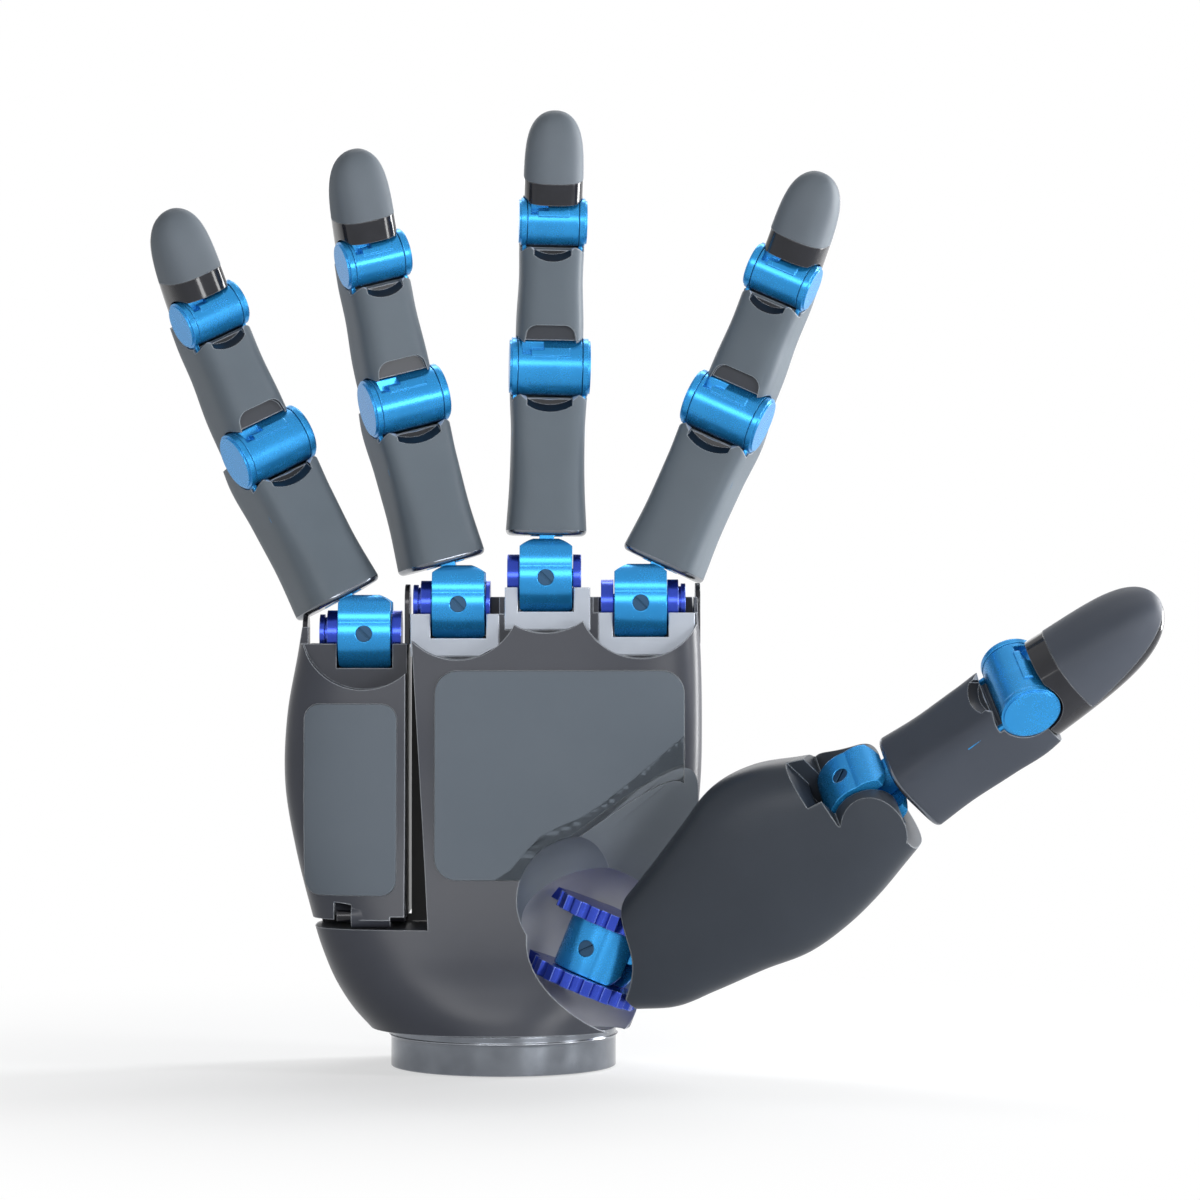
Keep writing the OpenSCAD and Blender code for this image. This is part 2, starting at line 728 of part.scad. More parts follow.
// Middle shell: a casing with an arched notch over the large barrel and a scoop under the small one.
module middle_shell(length) {
    back = proximal_depth - palmar_offset - 1.6;
    half = middle_w / 2;
    top = length + 0.2;
    color(PAD) difference() {
        loft([
            ring(0.65, -half, half, -palmar_offset + 0.2, back, 4, shell_sides),
            ring(length * 0.3, -half, half, -palmar_offset + 0.2, back, 4, shell_sides),
            ring(length * 0.6, -half + 0.4, half - 0.4, -palmar_offset + 0.3, back - 1, 4, shell_sides),
            ring(length * 0.85, -half + 0.3, half - 0.3, -palmar_offset + 0.2, back - 1.6, 4, shell_sides),
            ring(top, -half + 0.5, half - 0.5, -palmar_offset + 0.4, back - 2.2, 4, shell_sides),
        ]);
        rod_x(barrel_r + 0.5, -LARGE, LARGE);
        span([-LARGE, -LARGE, -LARGE], [LARGE, 0, barrel_r - 0.6]);
        slab_y(-LARGE, arch_floor) polygon([[-6.6, 0], [-4.6, barrel_r + 3.4], [4.6, barrel_r + 3.4], [6.6, 0]]);
        translate([0, 0, length]) {
            rod_x(small_barrel_r + moving_gap + 0.2, -LARGE, LARGE);
            joint_scoop(small_barrel_r);
            joint_caps_room(small_barrel_w, small_arm_reach, arm_front, arm_back);
        }
        finger_spine(0, length - small_arm_reach, seat_gap);
    }
}

// ---- Fingertip, in the last joint's frame ----

// Sizes of a fingertip: barrel radius, barrel width, half width, front, back, and start of the pad.
function tip_sizes(thumb) = thumb
    ? [barrel_r, barrel_w, 9, -6.2, 13.4, 10.5]
    : [small_barrel_r, small_barrel_w, 6.6, -5.2, 11, 9.6];

// Ring of the fingertip at a share t of its length, closing in an oval dome.
function tip_ring(length, s, t) = let (
    z0 = 0.7,
    z = z0 + (length - z0) * t,
    width = s[2] * pow(max(0, 1 - pow(t, 5.6)), 0.5),
    centre = (s[3] + s[4]) / 2 * (1 - 0.62 * t * t),
    depth = (s[4] - s[3]) / 2 * (1 - 0.26 * t) * pow(max(0, 1 - pow(t, 4.6)), 0.5))
    ring(z, -width, width, centre - depth, centre + depth, 2.7, shell_sides);

module tip_form(length, s) {
    loft([for (t = [0, 0.15, 0.32, 0.48, 0.62, 0.74, 0.84, 0.915, 0.965, 0.992]) tip_ring(length, s, t)]);
}

// The pad's side of the split between the soft pad and the hard back of a fingertip.
module pad_side(length, s, gap) {
    slab_x(-LARGE, LARGE) polygon([[-LARGE, s[5] + gap], [s[4] - 4.5 - gap, s[5] + gap],
        [1.6 - gap, length + 1], [1.6 - gap, LARGE], [-LARGE, LARGE]]);
}

tip_spine_w = 5;

module tip_spine(s, length, grow = 0) {
    span([-tip_spine_w / 2 - grow, -1.5 - grow, s[0] - 1], [tip_spine_w / 2 + grow, 3.5 + grow, length * 0.55 + grow]);
}

module distal_frame(length, thumb) {
    s = tip_sizes(thumb);
    color(BLUE) {
        joint_sleeve(s[0], s[1]);
        tip_spine(s, length);
    }
}

module distal_shell(length, thumb) {
    s = tip_sizes(thumb);
    color(DARK) difference() {
        tip_form(length, s);
        pad_side(length, s, 0);
        rod_x(s[0] + 0.5, -LARGE, LARGE);
        span([-LARGE, -LARGE, -LARGE], [LARGE, 0, s[0] - 0.4]);
        tip_spine(s, length, seat_gap);
    }
}

module tip_pad(length, thumb) {
    s = tip_sizes(thumb);
    color(PAD) difference() {
        intersection() {
            tip_form(length, s);
            pad_side(length, s, seat_gap);
        }
        tip_spine(s, length, seat_gap);
    }
}

// ---- Placing a finger's pieces ----

// The proximal phalanx's frame: splayed in its knuckle, then rolled about its own length.
module at_proximal(f) {
    at_knuckle(f) rotate([0, f[3], 0]) rotate([0, 0, f[4]]) children();
}

module at_middle(f) {
    at_proximal(f) translate([0, 0, proximal_l]) rotate([rest_bend, 0, 0]) children();
}

module at_distal(f) {
    at_middle(f) translate([0, 0, middle_l]) rotate([rest_bend, 0, 0]) children();
}

// A tongue keeps square to its yoke while the rest of the frame is rolled with the finger.
module finger_proximal_frame(f) {
    color(BLUE) {
        at_knuckle(f) rotate([0, f[3], 0]) tongue(shell_base_z + 1);
        at_proximal(f) {
            finger_spine(shell_base_z - 0.2, proximal_l - arm_reach - 1);
            translate([0, 0, proximal_l]) joint_caps(barrel_r, barrel_w, arm_reach, arm_front, arm_back);
        }
    }
}

module finger_proximal_shell(f) {
    difference() {
        at_proximal(f) proximal_shell(proximal_l);
        at_knuckle(f) rotate([0, f[3], 0]) span([-neck_w / 2 - seat_gap, -slot_half_depth, 0],
            [neck_w / 2 + seat_gap, slot_half_depth, shell_base_z + 1 + seat_gap]);
    }
}

module finger_piece(f, piece) {
    if (piece == "yoke") at_knuckle(f) yoke();
    if (piece == "pivot_screw") at_knuckle(f) pivot_screw();
    if (piece == "proximal_frame") finger_proximal_frame(f);
    if (piece == "proximal_shell") color(PAD) finger_proximal_shell(f);
    if (piece == "middle_frame") at_middle(f) middle_frame(middle_l);
    if (piece == "middle_shell") at_middle(f) middle_shell(middle_l);
    if (piece == "distal_frame") at_distal(f) distal_frame(distal_l, false);
    if (piece == "distal_shell") at_distal(f) distal_shell(distal_l, false);
    if (piece == "tip_pad") at_distal(f) tip_pad(distal_l, false);
}

// ---- Thumb ----

flange_gap = moving_gap / 2;

// Fluted round flange, seen in its own frame with its axis along Z.
module fluted_flange() {
    difference() {
        cylinder(r = flange_r, h = flange_t, $fn = 72);
        for (i = [0 : flange_flutes - 1]) rotate([0, 0, 360 * (i + 0.5) / flange_flutes])
            translate([flange_r + 0.5, 0, -1]) cylinder(r = 1.5, h = flange_t + 2);
    }
}

arm_turn = 145;
arm_w = 10;
arm_inset = 0.3;

// Arms that run from the two flanges into the palm, at the back of the socket.
module thumb_bracket_arms(grow = 0) {
    start = yoke_w / 2 + flange_gap;
    for (side = [0, 1]) mirror([0, 0, side]) rotate([0, 0, arm_turn])
        span([grow > 0 ? flange_r + 1 : flange_r - 3.1, -arm_w / 2 - grow, start + arm_inset - grow],
            [thumb_socket_r + 1.5 + grow, arm_w / 2 + grow, start + flange_t - arm_inset + grow]);
}

module thumb_base_bracket() {
    start = yoke_w / 2 + flange_gap;
    color(ROYAL) at_thumb_base() {
        for (side = [0, 1]) mirror([0, 0, side]) {
            translate([0, 0, start]) fluted_flange();
            translate([0, 0, yoke_w / 2 - yoke_cheek + 0.1])
                cylinder(r = journal_r, h = yoke_cheek + flange_gap);
        }
        thumb_bracket_arms();
    }
}

// A yoke turned so that its axle runs along Z and its tongue leaves toward +X.
module at_base_yoke() {
    at_thumb_base() rotate([0, 90, 0]) children();
}

module thumb_base_yoke() {
    at_base_yoke() yoke();
}

module thumb_base_pivot() {
    at_base_yoke() pivot_screw();
}

module at_base_tongue() {
    at_base_yoke() rotate([0, -thumb_tongue_lift, 0]) children();
}

// Frame of the metacarpal: z toward the thumb's knuckle, +x downward.
module at_metacarpal() {
    translate(thumb_base) rotate([0, 90 - thumb_rise, 0]) rotate([thumb_lean, 0, 0]) children();
}

bar_w = 9;
bar_depth = 8;
bar_start = 20;
bar_end = 42;
tongue_end = 17;
elbow_swell = 0.3;

module metacarpal_bar(grow = 0) {
    span([-bar_w / 2 - grow, -bar_depth / 2 - grow, bar_start - grow],
        [bar_w / 2 + grow, bar_depth / 2 + grow, bar_end + grow]);
}

// Elbow between the tongue and the bar.
module metacarpal_elbow(grow = 0) {
    depth = slot_half_depth - moving_gap + elbow_swell + grow;
    half = neck_w / 2 + elbow_swell + grow;
    across = bar_w / 2 + elbow_swell + grow;
    through = bar_depth / 2 + elbow_swell + grow;
    hull() {
        at_base_tongue() span([-half, -depth, tongue_end - 0.3 - grow], [half, depth, tongue_end + 3 + grow]);
        at_metacarpal() span([-across, -through, bar_start - 0.7 - grow], [across, through, bar_start + 4]);
    }
}

module thumb_metacarpal_frame() {
    color(BLUE) {
        at_base_tongue() tongue(tongue_end);
        metacarpal_elbow();
        at_metacarpal() metacarpal_bar();
    }
}

METACARPAL_STATIONS = [
    [3, -5, 15.5, -11.5, 7, 3],
    [10, -6.3, 19, -12.2, 8.6, 3],
    [20, -9.6, 20.6, -12.8, 10, 3],
    [32, -14.2, 22, -13.2, 11, 3],
    [42, -17.9, 23.6, -13.2, 11.4, 3],
    [52, -17.4, 22.8, -12.6, 11.4, 3],
    [62, -13.6, 20.4, -11.8, 11, 3],
    [70, -10.5, 17.6, -11, 10.6, 3],
    [80, -8, 14, -9, 9.2, 3],
];

// The thumb knuckle's frame, shared with the thumb's phalanges.
module at_thumb_knuckle() {
    translate(thumb_knuckle) rotate([0, 90 - thumb_phalanx_rise, 0]) rotate([thumb_lean, 0, 0])
        rotate([0, 0, thumb_roll]) children();
}

cheek_r = 7;
cheek_reach = 11.4;

// Metacarpal casing: swollen in the middle, hollowed at the base joint and forked at the knuckle.
module thumb_metacarpal_shell() {
    fork = yoke_w / 2 + moving_gap;
    color(METAL) difference() {
        at_metacarpal() loft([for (s = METACARPAL_STATIONS)
            ring(s[0], s[1], s[2], s[3], s[4], s[5], palm_sides)]);
        at_thumb_knuckle() {
            slab_x(-fork, fork) polygon([[-LARGE, -8.3], [-3, -8.3], [5.6, 4.6], [LARGE, 4.6],
                [LARGE, LARGE], [-LARGE, LARGE]]);
            difference() {
                slab_x(-LARGE, LARGE) polygon([[-LARGE, -5], [-5.5, -5], [0, 0], [5.6, 4.6], [LARGE, 4.6],
                    [LARGE, LARGE], [-LARGE, LARGE]]);
                rod_x(cheek_r, -LARGE, LARGE);
            }
        }
        translate(thumb_base) sphere(thumb_clear_r, $fn = 72);
        at_thumb_knuckle() {
            rod_x(crown_reach + moving_gap, -fork, fork);
            axle_room(cheek_reach - 1.5);
        }
        at_metacarpal() metacarpal_bar(seat_gap);
        metacarpal_elbow(seat_gap);
        at_base_tongue() span([-neck_w / 2 - seat_gap, -slot_half_depth, 0],
            [neck_w / 2 + seat_gap, slot_half_depth, tongue_end]);
    }
}

module thumb_knuckle_axle() {
    color(ROYAL) at_thumb_knuckle() stub_axles(cheek_reach - 1.6, cheek_reach - 1.6);
}

module at_thumb_tip() {
    at_thumb_knuckle() translate([0, 0, thumb_proximal_l]) children();
}

module thumb_piece(piece) {
    if (piece == "thumb_base_yoke") thumb_base_yoke();
    if (piece == "thumb_base_pivot") thumb_base_pivot();
    if (piece == "thumb_metacarpal_frame") thumb_metacarpal_frame();
    if (piece == "thumb_metacarpal_shell") thumb_metacarpal_shell();
    if (piece == "thumb_knuckle_axle") thumb_knuckle_axle();
    if (piece == "thumb_yoke") at_thumb_knuckle() yoke();
    if (piece == "thumb_pivot_screw") at_thumb_knuckle() pivot_screw();
    if (piece == "thumb_proximal_frame") at_thumb_knuckle() proximal_frame(thumb_proximal_l);
    if (piece == "thumb_proximal_shell") at_thumb_knuckle() proximal_shell(thumb_proximal_l);
    if (piece == "thumb_distal_frame") at_thumb_tip() distal_frame(thumb_distal_l, true);
    if (piece == "thumb_distal_shell") at_thumb_tip() distal_shell(thumb_distal_l, true);
    if (piece == "thumb_tip_pad") at_thumb_tip() tip_pad(thumb_distal_l, true);
}

wrist_flange();
palm_shell();
palm_back_cover();
palm_pad();
knuckle_blocks();
knuckle_axles();
palm_drive_pack();
thumb_base_bracket();
little_hinge_pin();
little_metacarpal_shell();
little_metacarpal_pad();
little_knuckle_axle();
for (piece = THUMB_PIECES) thumb_piece(piece);
for (finger = FINGERS) for (piece = FINGER_PIECES)
    finger_piece(finger, piece);
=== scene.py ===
import json
import bpy
import numpy as np
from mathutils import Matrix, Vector


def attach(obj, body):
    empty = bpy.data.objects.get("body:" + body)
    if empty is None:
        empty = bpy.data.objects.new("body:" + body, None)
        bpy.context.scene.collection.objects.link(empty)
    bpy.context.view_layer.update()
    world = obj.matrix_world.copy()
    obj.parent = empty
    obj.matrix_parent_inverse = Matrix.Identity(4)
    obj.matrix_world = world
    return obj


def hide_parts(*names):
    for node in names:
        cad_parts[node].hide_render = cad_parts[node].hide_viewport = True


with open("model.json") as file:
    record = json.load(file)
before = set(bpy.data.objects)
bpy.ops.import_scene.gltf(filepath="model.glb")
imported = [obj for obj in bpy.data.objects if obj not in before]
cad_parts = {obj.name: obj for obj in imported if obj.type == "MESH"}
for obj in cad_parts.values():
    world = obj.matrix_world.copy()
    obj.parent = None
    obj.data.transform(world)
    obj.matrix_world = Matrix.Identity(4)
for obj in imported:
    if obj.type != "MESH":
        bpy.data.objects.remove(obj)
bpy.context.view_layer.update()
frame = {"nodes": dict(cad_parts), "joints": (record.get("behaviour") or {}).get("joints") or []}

camera = bpy.data.objects.new("camera", bpy.data.cameras.new("camera"))
bpy.context.scene.collection.objects.link(camera)
camera.data.lens = 118.4
camera.location = (0.0215, -0.88, 0.1033)
camera.rotation_euler = (np.pi / 2, 0, 0)
camera.data.clip_start = 0.05
bpy.context.scene.camera = camera

scene = bpy.context.scene
scene.view_settings.view_transform = "Standard"


class Socket:
    """One output of a material's tree; sums, differences and products of it add the Math nodes."""

    def __init__(self, finish, socket):
        self.finish, self.socket = finish, socket

    def math(self, operation, other=0.0, swap=False):
        first, second = (other, self) if swap else (self, other)
        return self.finish.node("Math", {"operation": operation}, {0: first, 1: second})

    def __add__(self, other):
        return self.math("ADD", other)

    def __sub__(self, other):
        return self.math("SUBTRACT", other)

    def __mul__(self, other):
        return self.math("MULTIPLY", other)

    def __rsub__(self, other):
        return self.math("SUBTRACT", other, swap=True)

    def ramp(self, low, high, start=0.0, end=1.0):
        """The value carried from one range to another along a smooth S, held at both ends."""
        return self.finish.node("MapRange", {"interpolation_type": "SMOOTHSTEP"},
                                {0: self, 1: low, 2: high, 3: start, 4: end})


class Finish:
    """A material under construction: its principled shader and any node that is added to it."""

    def __init__(self, name, colour, roughness, metallic=0.0, **sockets):
        self.material = bpy.data.materials.new(name)
        self.material.use_nodes = True
        self.tree = self.material.node_tree
        self.shader = self.tree.nodes["Principled BSDF"]
        self.material.diffuse_color = (*colour, 1)
        self.set(**{"Base Color": (*colour, 1), "Roughness": roughness, "Metallic": metallic, **sockets})
        self.place = self.node("TexCoord", output="Object")

    def node(self, kind, settings={}, inputs={}, output=0):
        made = self.tree.nodes.new("ShaderNode" + kind)
        for name, value in settings.items():
            setattr(made, name, value)
        for name, value in inputs.items():
            self.feed(made.inputs[name], value)
        return Socket(self, made.outputs[output])

    def feed(self, socket, value):
        if isinstance(value, Socket):
            self.tree.links.new(value.socket, socket)
        else:
            socket.default_value = value

    def set(self, **sockets):
        for name, value in sockets.items():
            self.feed(self.shader.inputs[name], value)

    def noise(self, size, detail=2.0, stretch=None):
        """Noise whose lumps are about size metres across, drawn out along an axis if asked."""
        place = self.place
        if stretch is not None:
            place = self.node("Mapping", {}, {"Vector": place, "Scale": stretch})
        return self.node("TexNoise", {}, {"Vector": place, "Scale": 1 / size, "Detail": detail})

    def blend(self, share, colour, other):
        """Two colours mixed by a share."""
        return self.node("Mix", {"data_type": "RGBA"}, {0: share, 6: colour, 7: other}, output=2)

    def edges(self, radius):
        """Normals rounded over the edges, and how far they turn there: 0 on faces, 1 on an edge."""
        rounded = self.node("Bevel", {"samples": 6}, {"Radius": radius})
        plain = self.node("NewGeometry", output="Normal")
        turn = self.node("VectorMath", {"operation": "DOT_PRODUCT"}, {0: rounded, 1: plain}, output="Value")
        return rounded, (1 - turn).ramp(0.02, 0.2)

    def bump(self, height, depth, strength=1.0, normal=None):
        inputs = {"Height": height, "Distance": depth, "Strength": strength}
        if normal is not None:
            inputs["Normal"] = normal
        return self.node("Bump", {}, inputs)


# The sweep shows white to the camera and to mirrored and refracted rays, less so near the foot, where
# it keeps the hand's shadow; to all other rays it is a plain pale surface.
floor_finish = Finish("sweep", (0.86, 0.87, 0.88), 0.9)
seen, mirrored, refracted = [floor_finish.node("LightPath", output=kind)
                             for kind in ("Is Camera Ray", "Is Glossy Ray", "Is Transmission Ray")]
shown = seen + mirrored + refracted
from_foot = floor_finish.node("VectorMath", {"operation": "LENGTH"}, {0: floor_finish.place}, output="Value")
near, far, near_share, far_share = 0.05, 0.22, 0.55, 1.0
white = floor_finish.node("Emission", {}, {"Color": (1, 1, 1, 1), "Strength": 1.0}, output="Emission")
both = floor_finish.node("MixShader", {}, {0: shown * from_foot.ramp(near, far, near_share, far_share)},
                         output="Shader")
floor_finish.tree.links.new(floor_finish.shader.outputs[0], both.socket.node.inputs[1])
floor_finish.tree.links.new(white.socket, both.socket.node.inputs[2])
floor_finish.tree.links.new(both.socket, floor_finish.tree.nodes["Material Output"].inputs["Surface"])
sweep_mesh = bpy.data.meshes.new("sweep")
reach, below = 3.0, -0.0003
sweep_mesh.from_pydata([(-reach, -reach, below), (reach, -reach, below), (reach, reach, below),
                        (-reach, reach, below)], [], [(0, 1, 2, 3)])
sweep = bpy.data.objects.new("sweep", sweep_mesh)
sweep.data.materials.append(floor_finish.material)
scene.collection.objects.link(sweep)

world = bpy.data.worlds.new("studio")
scene.world = world
world.use_nodes = True
sky = world.node_tree
backdrop = sky.nodes["Background"]
path = sky.nodes.new("ShaderNodeLightPath")
level = sky.nodes.new("ShaderNodeMix")
fill_strength, shown_strength = 0.08, 1.0
level.inputs[2].default_value = fill_strength
level.inputs[3].default_value = shown_strength
share = path.outputs["Is Camera Ray"]
for kind in ("Is Glossy Ray", "Is Transmission Ray"):
    total = sky.nodes.new("ShaderNodeMath")
    sky.links.new(share, total.inputs[0])
    sky.links.new(path.outputs[kind], total.inputs[1])
    share = total.outputs[0]
sky.links.new(share, level.inputs[0])
sky.links.new(level.outputs[0], backdrop.inputs["Strength"])
backdrop.inputs["Color"].default_value = (1, 1, 1, 1)


def softbox(name, spot, aim, width, height, power):
    """A rectangular lamp that faces a point."""
    lamp = bpy.data.lights.new(name, "AREA")
    lamp.shape = "RECTANGLE"
    lamp.size, lamp.size_y, lamp.energy = width, height, power
    holder = bpy.data.objects.new(name, lamp)
    holder.location = spot
    holder.rotation_euler = Vector(np.subtract(aim, spot)).to_track_quat("-Z", "Y").to_euler()
    scene.collection.objects.link(holder)


softbox("key", (-0.16, -1.00, 0.36), (0, 0, 0.11), 0.60, 0.30, 4.0)
softbox("right_side", (0.64, -0.20, 0.14), (0.02, 0, 0.10), 0.12, 0.6, 3.0)
softbox("right_back", (0.52, 0.25, 0.18), (0.02, 0, 0.10), 0.14, 0.6, 6.0)
softbox("top", (0.05, 0.34, 0.74), (0.02, 0, 0.15), 0.45, 0.22, 2.0)
softbox("back", (-0.10, 0.80, 0.45), (0, 0, 0.12), 0.6, 0.4, 1.0)
softbox("low_fill", (0.50, -0.78, 0.05), (0.02, 0, 0.08), 0.34, 0.20, 3.0)

# ---- Palm shell ----
# The palm is one machined anthracite housing, lofted from a round foot to a flat squarish hand,
# with a socket and a long groove for the thumb and a scalloped room under each knuckle.
MM = 0.001
joints = {joint["name"]: joint for joint in frame["joints"]}


def joint_place(name):
    return np.array(joints[name]["pos_m"]) / MM


def joint_axis(name):
    return np.array(joints[name]["axis"], float)


class Seat:
    """A place to build at: a point in millimetres and three directions as the rows of a matrix."""

    def __init__(self, point=(0, 0, 0), rows=np.eye(3)):
        self.point, self.rows = np.array(point, float), np.array(rows, float)

    def out(self, points):
        return np.asarray(points, float) @ self.rows + self.point

    def moved(self, x=0, y=0, z=0):
        return Seat(self.out([x, y, z]), self.rows)

    def turned(self, axis, degrees):
        """The same place with its own directions turned about one of them."""
        c, s = np.cos(np.radians(degrees)), np.sin(np.radians(degrees))
        a, b = [(1, 2), (2, 0), (0, 1)][axis]
        spin = np.eye(3)
        spin[a, a] = spin[b, b] = c
        spin[a, b], spin[b, a] = s, -s
        return Seat(self.point, spin @ self.rows)

    def along(self, axis):
        """The same place with its third direction laid along x (0) or against y (1)."""
        x, y, z = self.rows
        return Seat(self.point, [y, z, x] if axis == 0 else [x, z, -y])


def sleeve(name, rings, seat=Seat(), finish=None):
    """A closed skin: every ring of an (m, n, 3) stack joins to the next and the ends are capped.
    A skin that cuts another leaves its own finish on the cut faces."""
    m, n = rings.shape[:2]
    at = np.arange(m * n).reshape(m, n)
    low, high = at[:-1], at[1:]
    sides = np.stack([low, np.roll(low, -1, 1), np.roll(high, -1, 1), high], -1).reshape(-1, 4)
    mesh = bpy.data.meshes.new(name)
    faces = sides.tolist() + [at[0, ::-1].tolist(), at[-1].tolist()]
    mesh.from_pydata(seat.out(rings.reshape(-1, 3)) * MM, [], faces)
    if finish is not None:
        mesh.materials.append(finish.material)
    piece = bpy.data.objects.new(name, mesh)
    scene.collection.objects.link(piece)
    return piece


def block(low, high, seat=Seat()):
    """A plain box between two corners, used to cut with."""
    (x0, y0, z0), (x1, y1, z1) = low, high
    ring = np.array([[x0, y0], [x1, y0], [x1, y1], [x0, y1]], float)
    return sleeve("tool", stacked(ring, [z0, z1]), seat)


def stacked(outline, heights):
    """A flat outline repeated at several heights."""
    outline, heights = np.asarray(outline, float), np.asarray(heights, float)
    m, n = len(heights), len(outline)
    return np.concatenate([np.broadcast_to(outline, (m, n, 2)),
                           np.broadcast_to(heights[:, None, None], (m, n, 1))], -1)


def circle(radius, sides=96):
    turn = np.arange(sides) * 2 * np.pi / sides
    return np.stack([radius * np.cos(turn), radius * np.sin(turn)], -1)


def rod(radius, start, end, seat, sides=96, finish=None):
    """A round bar along the seat's own third direction."""
    return sleeve("tool", stacked(circle(radius, sides), [start, end]), seat, finish)


def ball(radius, centre, count=96, finish=None):
    """A sphere as rings from pole to pole, its poles closed by rings too small to see."""
    climb = np.linspace(-np.pi / 2 + 0.01, np.pi / 2 - 0.01, count // 2)
    rings = stacked(circle(1, count), np.zeros(count // 2))
    rings[..., :2] *= (radius * np.cos(climb))[:, None, None]
    rings[..., 2] = (radius * np.sin(climb))[:, None]
    return sleeve("tool", rings, Seat(centre), finish)


def shaped(piece, how, *tools):
    """The piece with each tool cut away, joined on, or kept as the part they share."""
    for tool in tools:
        change = piece.modifiers.new("shape", "BOOLEAN")
        change.operation, change.solver, change.object = how, "MANIFOLD", tool
        change.material_mode = "TRANSFER"
    done = bpy.data.meshes.new_from_object(piece.evaluated_get(bpy.context.evaluated_depsgraph_get()))
    piece.modifiers.clear()
    old, piece.data = piece.data, done
    bpy.data.meshes.remove(old)
    for tool in tools:
        bpy.data.objects.remove(tool)
    return piece


def finished(piece, name, finish, slot, body, *nodes, angle=32):
    """Smooth shading up to an angle, then the name, finish, body and the CAD nodes it stands for."""
    piece.name = name
    mesh = piece.data
    mesh.polygons.foreach_set("use_smooth", np.ones(len(mesh.polygons), bool))
    mesh.set_sharp_from_angle(angle=np.radians(angle))
    if mesh.materials:
        mesh.materials[0] = finish.material
    else:
        mesh.materials.append(finish.material)
    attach(piece, body)
    if nodes:
        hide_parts(*nodes)
    return piece


# Height, left, right, front, back and squareness of the palm's section from the foot up.
palm_stations = np.array([
    [8.6, -29.5, 28.3, -25.6, 25.6, 2.2], [12, -32.6, 29.6, -25.2, 24.8, 2.3],
    [18, -36.6, 31.4, -23.6, 22.8, 2.6], [26, -40.1, 34.6, -20.9, 20.2, 3],
    [36, -43, 38.8, -18.2, 18.2, 3.5], [48, -46, 42, -15.9, 17, 4],
    [62, -48.4, 43.8, -14.5, 16.5, 4.2], [78, -48, 44.2, -13.8, 16.2, 4.2],
    [92, -45.6, 43.9, -13, 15.8, 4.2], [104, -43.7, 43.2, -12.4, 15.2, 4.2]])


def between(stations, count):
    """Stations filled in along smooth curves: cubic Hermite pieces whose slopes are the gradients."""
    z = stations[:, 0]
    slopes = np.gradient(stations, z, axis=0)
    fine = np.linspace(z[0], z[-1], count)
    at = np.clip(np.searchsorted(z, fine, side="right") - 1, 0, len(z) - 2)
    span = (z[at + 1] - z[at])[:, None]
    t = ((fine - z[at])[:, None]) / span
    return ((2 * t**3 - 3 * t**2 + 1) * stations[at] + (t**3 - 2 * t**2 + t) * span * slopes[at]
            + (3 * t**2 - 2 * t**3) * stations[at + 1] + (t**3 - t**2) * span * slopes[at + 1])


def squircles(stations, sides, grow=0.0):
    """Superellipse rings: |x|^p + |y|^p = 1 stretched between the four sides of every station."""
    z, left, right, front, back, power = [stations[:, k, None] for k in range(6)]
    turn = (np.arange(sides) + 0.5) * 2 * np.pi / sides
    c, s = np.cos(turn), np.sin(turn)
    x = np.sign(c) * np.abs(c) ** (2 / power) * ((right - left) / 2 + grow) + (left + right) / 2
    y = np.sign(s) * np.abs(s) ** (2 / power) * ((back - front) / 2 + grow) + (front + back) / 2
    return np.stack([x, y, np.broadcast_to(z, x.shape)], -1)


def hand_form(grow=0.0):
    return sleeve("hand_form", squircles(between(palm_stations, 96), 160, grow))


knuckle_blocks_reach = {"index": (9.3, 12), "long": (9.1, 9.8), "ring": (10.6, 9), "little": (12.6, 8.6)}
knuckle = {f: joint_place(f + "_knuckle_bend") for f in knuckle_blocks_reach}
thumb_root = joint_place("thumb_swing")
thumb_top = joint_place("thumb_knuckle_bend")
thumb_line = (thumb_top - thumb_root) / np.linalg.norm(thumb_top - thumb_root)
thumb_across = np.array([thumb_line[2], 0, -thumb_line[0]]) / np.hypot(thumb_line[2], thumb_line[0])
metacarpal_seat = Seat(thumb_root, [thumb_across, np.cross(thumb_line, thumb_across), thumb_line])
FAR = 120
SOCKET_RADIUS, BOWL_RADIUS, GROOVE_RADIUS = 18.5, 14.2, 28


def thumb_room():
    """Tools for the thumb's round socket, the bowl above it and the metacarpal's long groove."""
    rise = np.radians(39)
    lie = np.array([np.sin(np.pi / 2 - rise), 0, np.cos(np.pi / 2 - rise)])
    groove = Seat([thumb_root[0], -31, thumb_root[2]], [np.cross([0, 1, 0], lie), [0, 1, 0], lie])
    return [ball(SOCKET_RADIUS, thumb_root, 160, socket_face_painted_light),
            ball(BOWL_RADIUS, thumb_root + [-3.4, -7, 11.4], 128, groove_face_painted_light),
            rod(GROOVE_RADIUS, 0, 60, groove, 256, groove_face_painted_light)]


def little_space():
    """The room of the little metacarpal, with the wedge gap's slanting side."""
    top = 104
    outline = [[-FAR, 31.2], [-16.1, 31.2], [-19.9, top - 10], [-19.9, FAR], [-FAR, FAR]]
    return sleeve("tool", stacked(outline, [-FAR, FAR]), Seat().along(1))


def knuckle_room(f):
    """Tools for one knuckle's opening: the block's seat, the scalloped edge and the cheek line."""
    left, right = knuckle_blocks_reach[f]
    seat = Seat(knuckle[f])
    return [block([-left, -5.4, -11.6], [right, 9, FAR], seat),
            rod(14, 5.4, 40, seat.moved(z=1.7).along(1), 160),
            block([-14, -40, 1.7], [14, -5.4, FAR], seat),
            block([-left - 1.2, -40, -2.2], [right + 8, -3.4, FAR], seat),
            block([-left - 1.2, -40, 2.2], [right + 8, FAR, FAR], seat)]


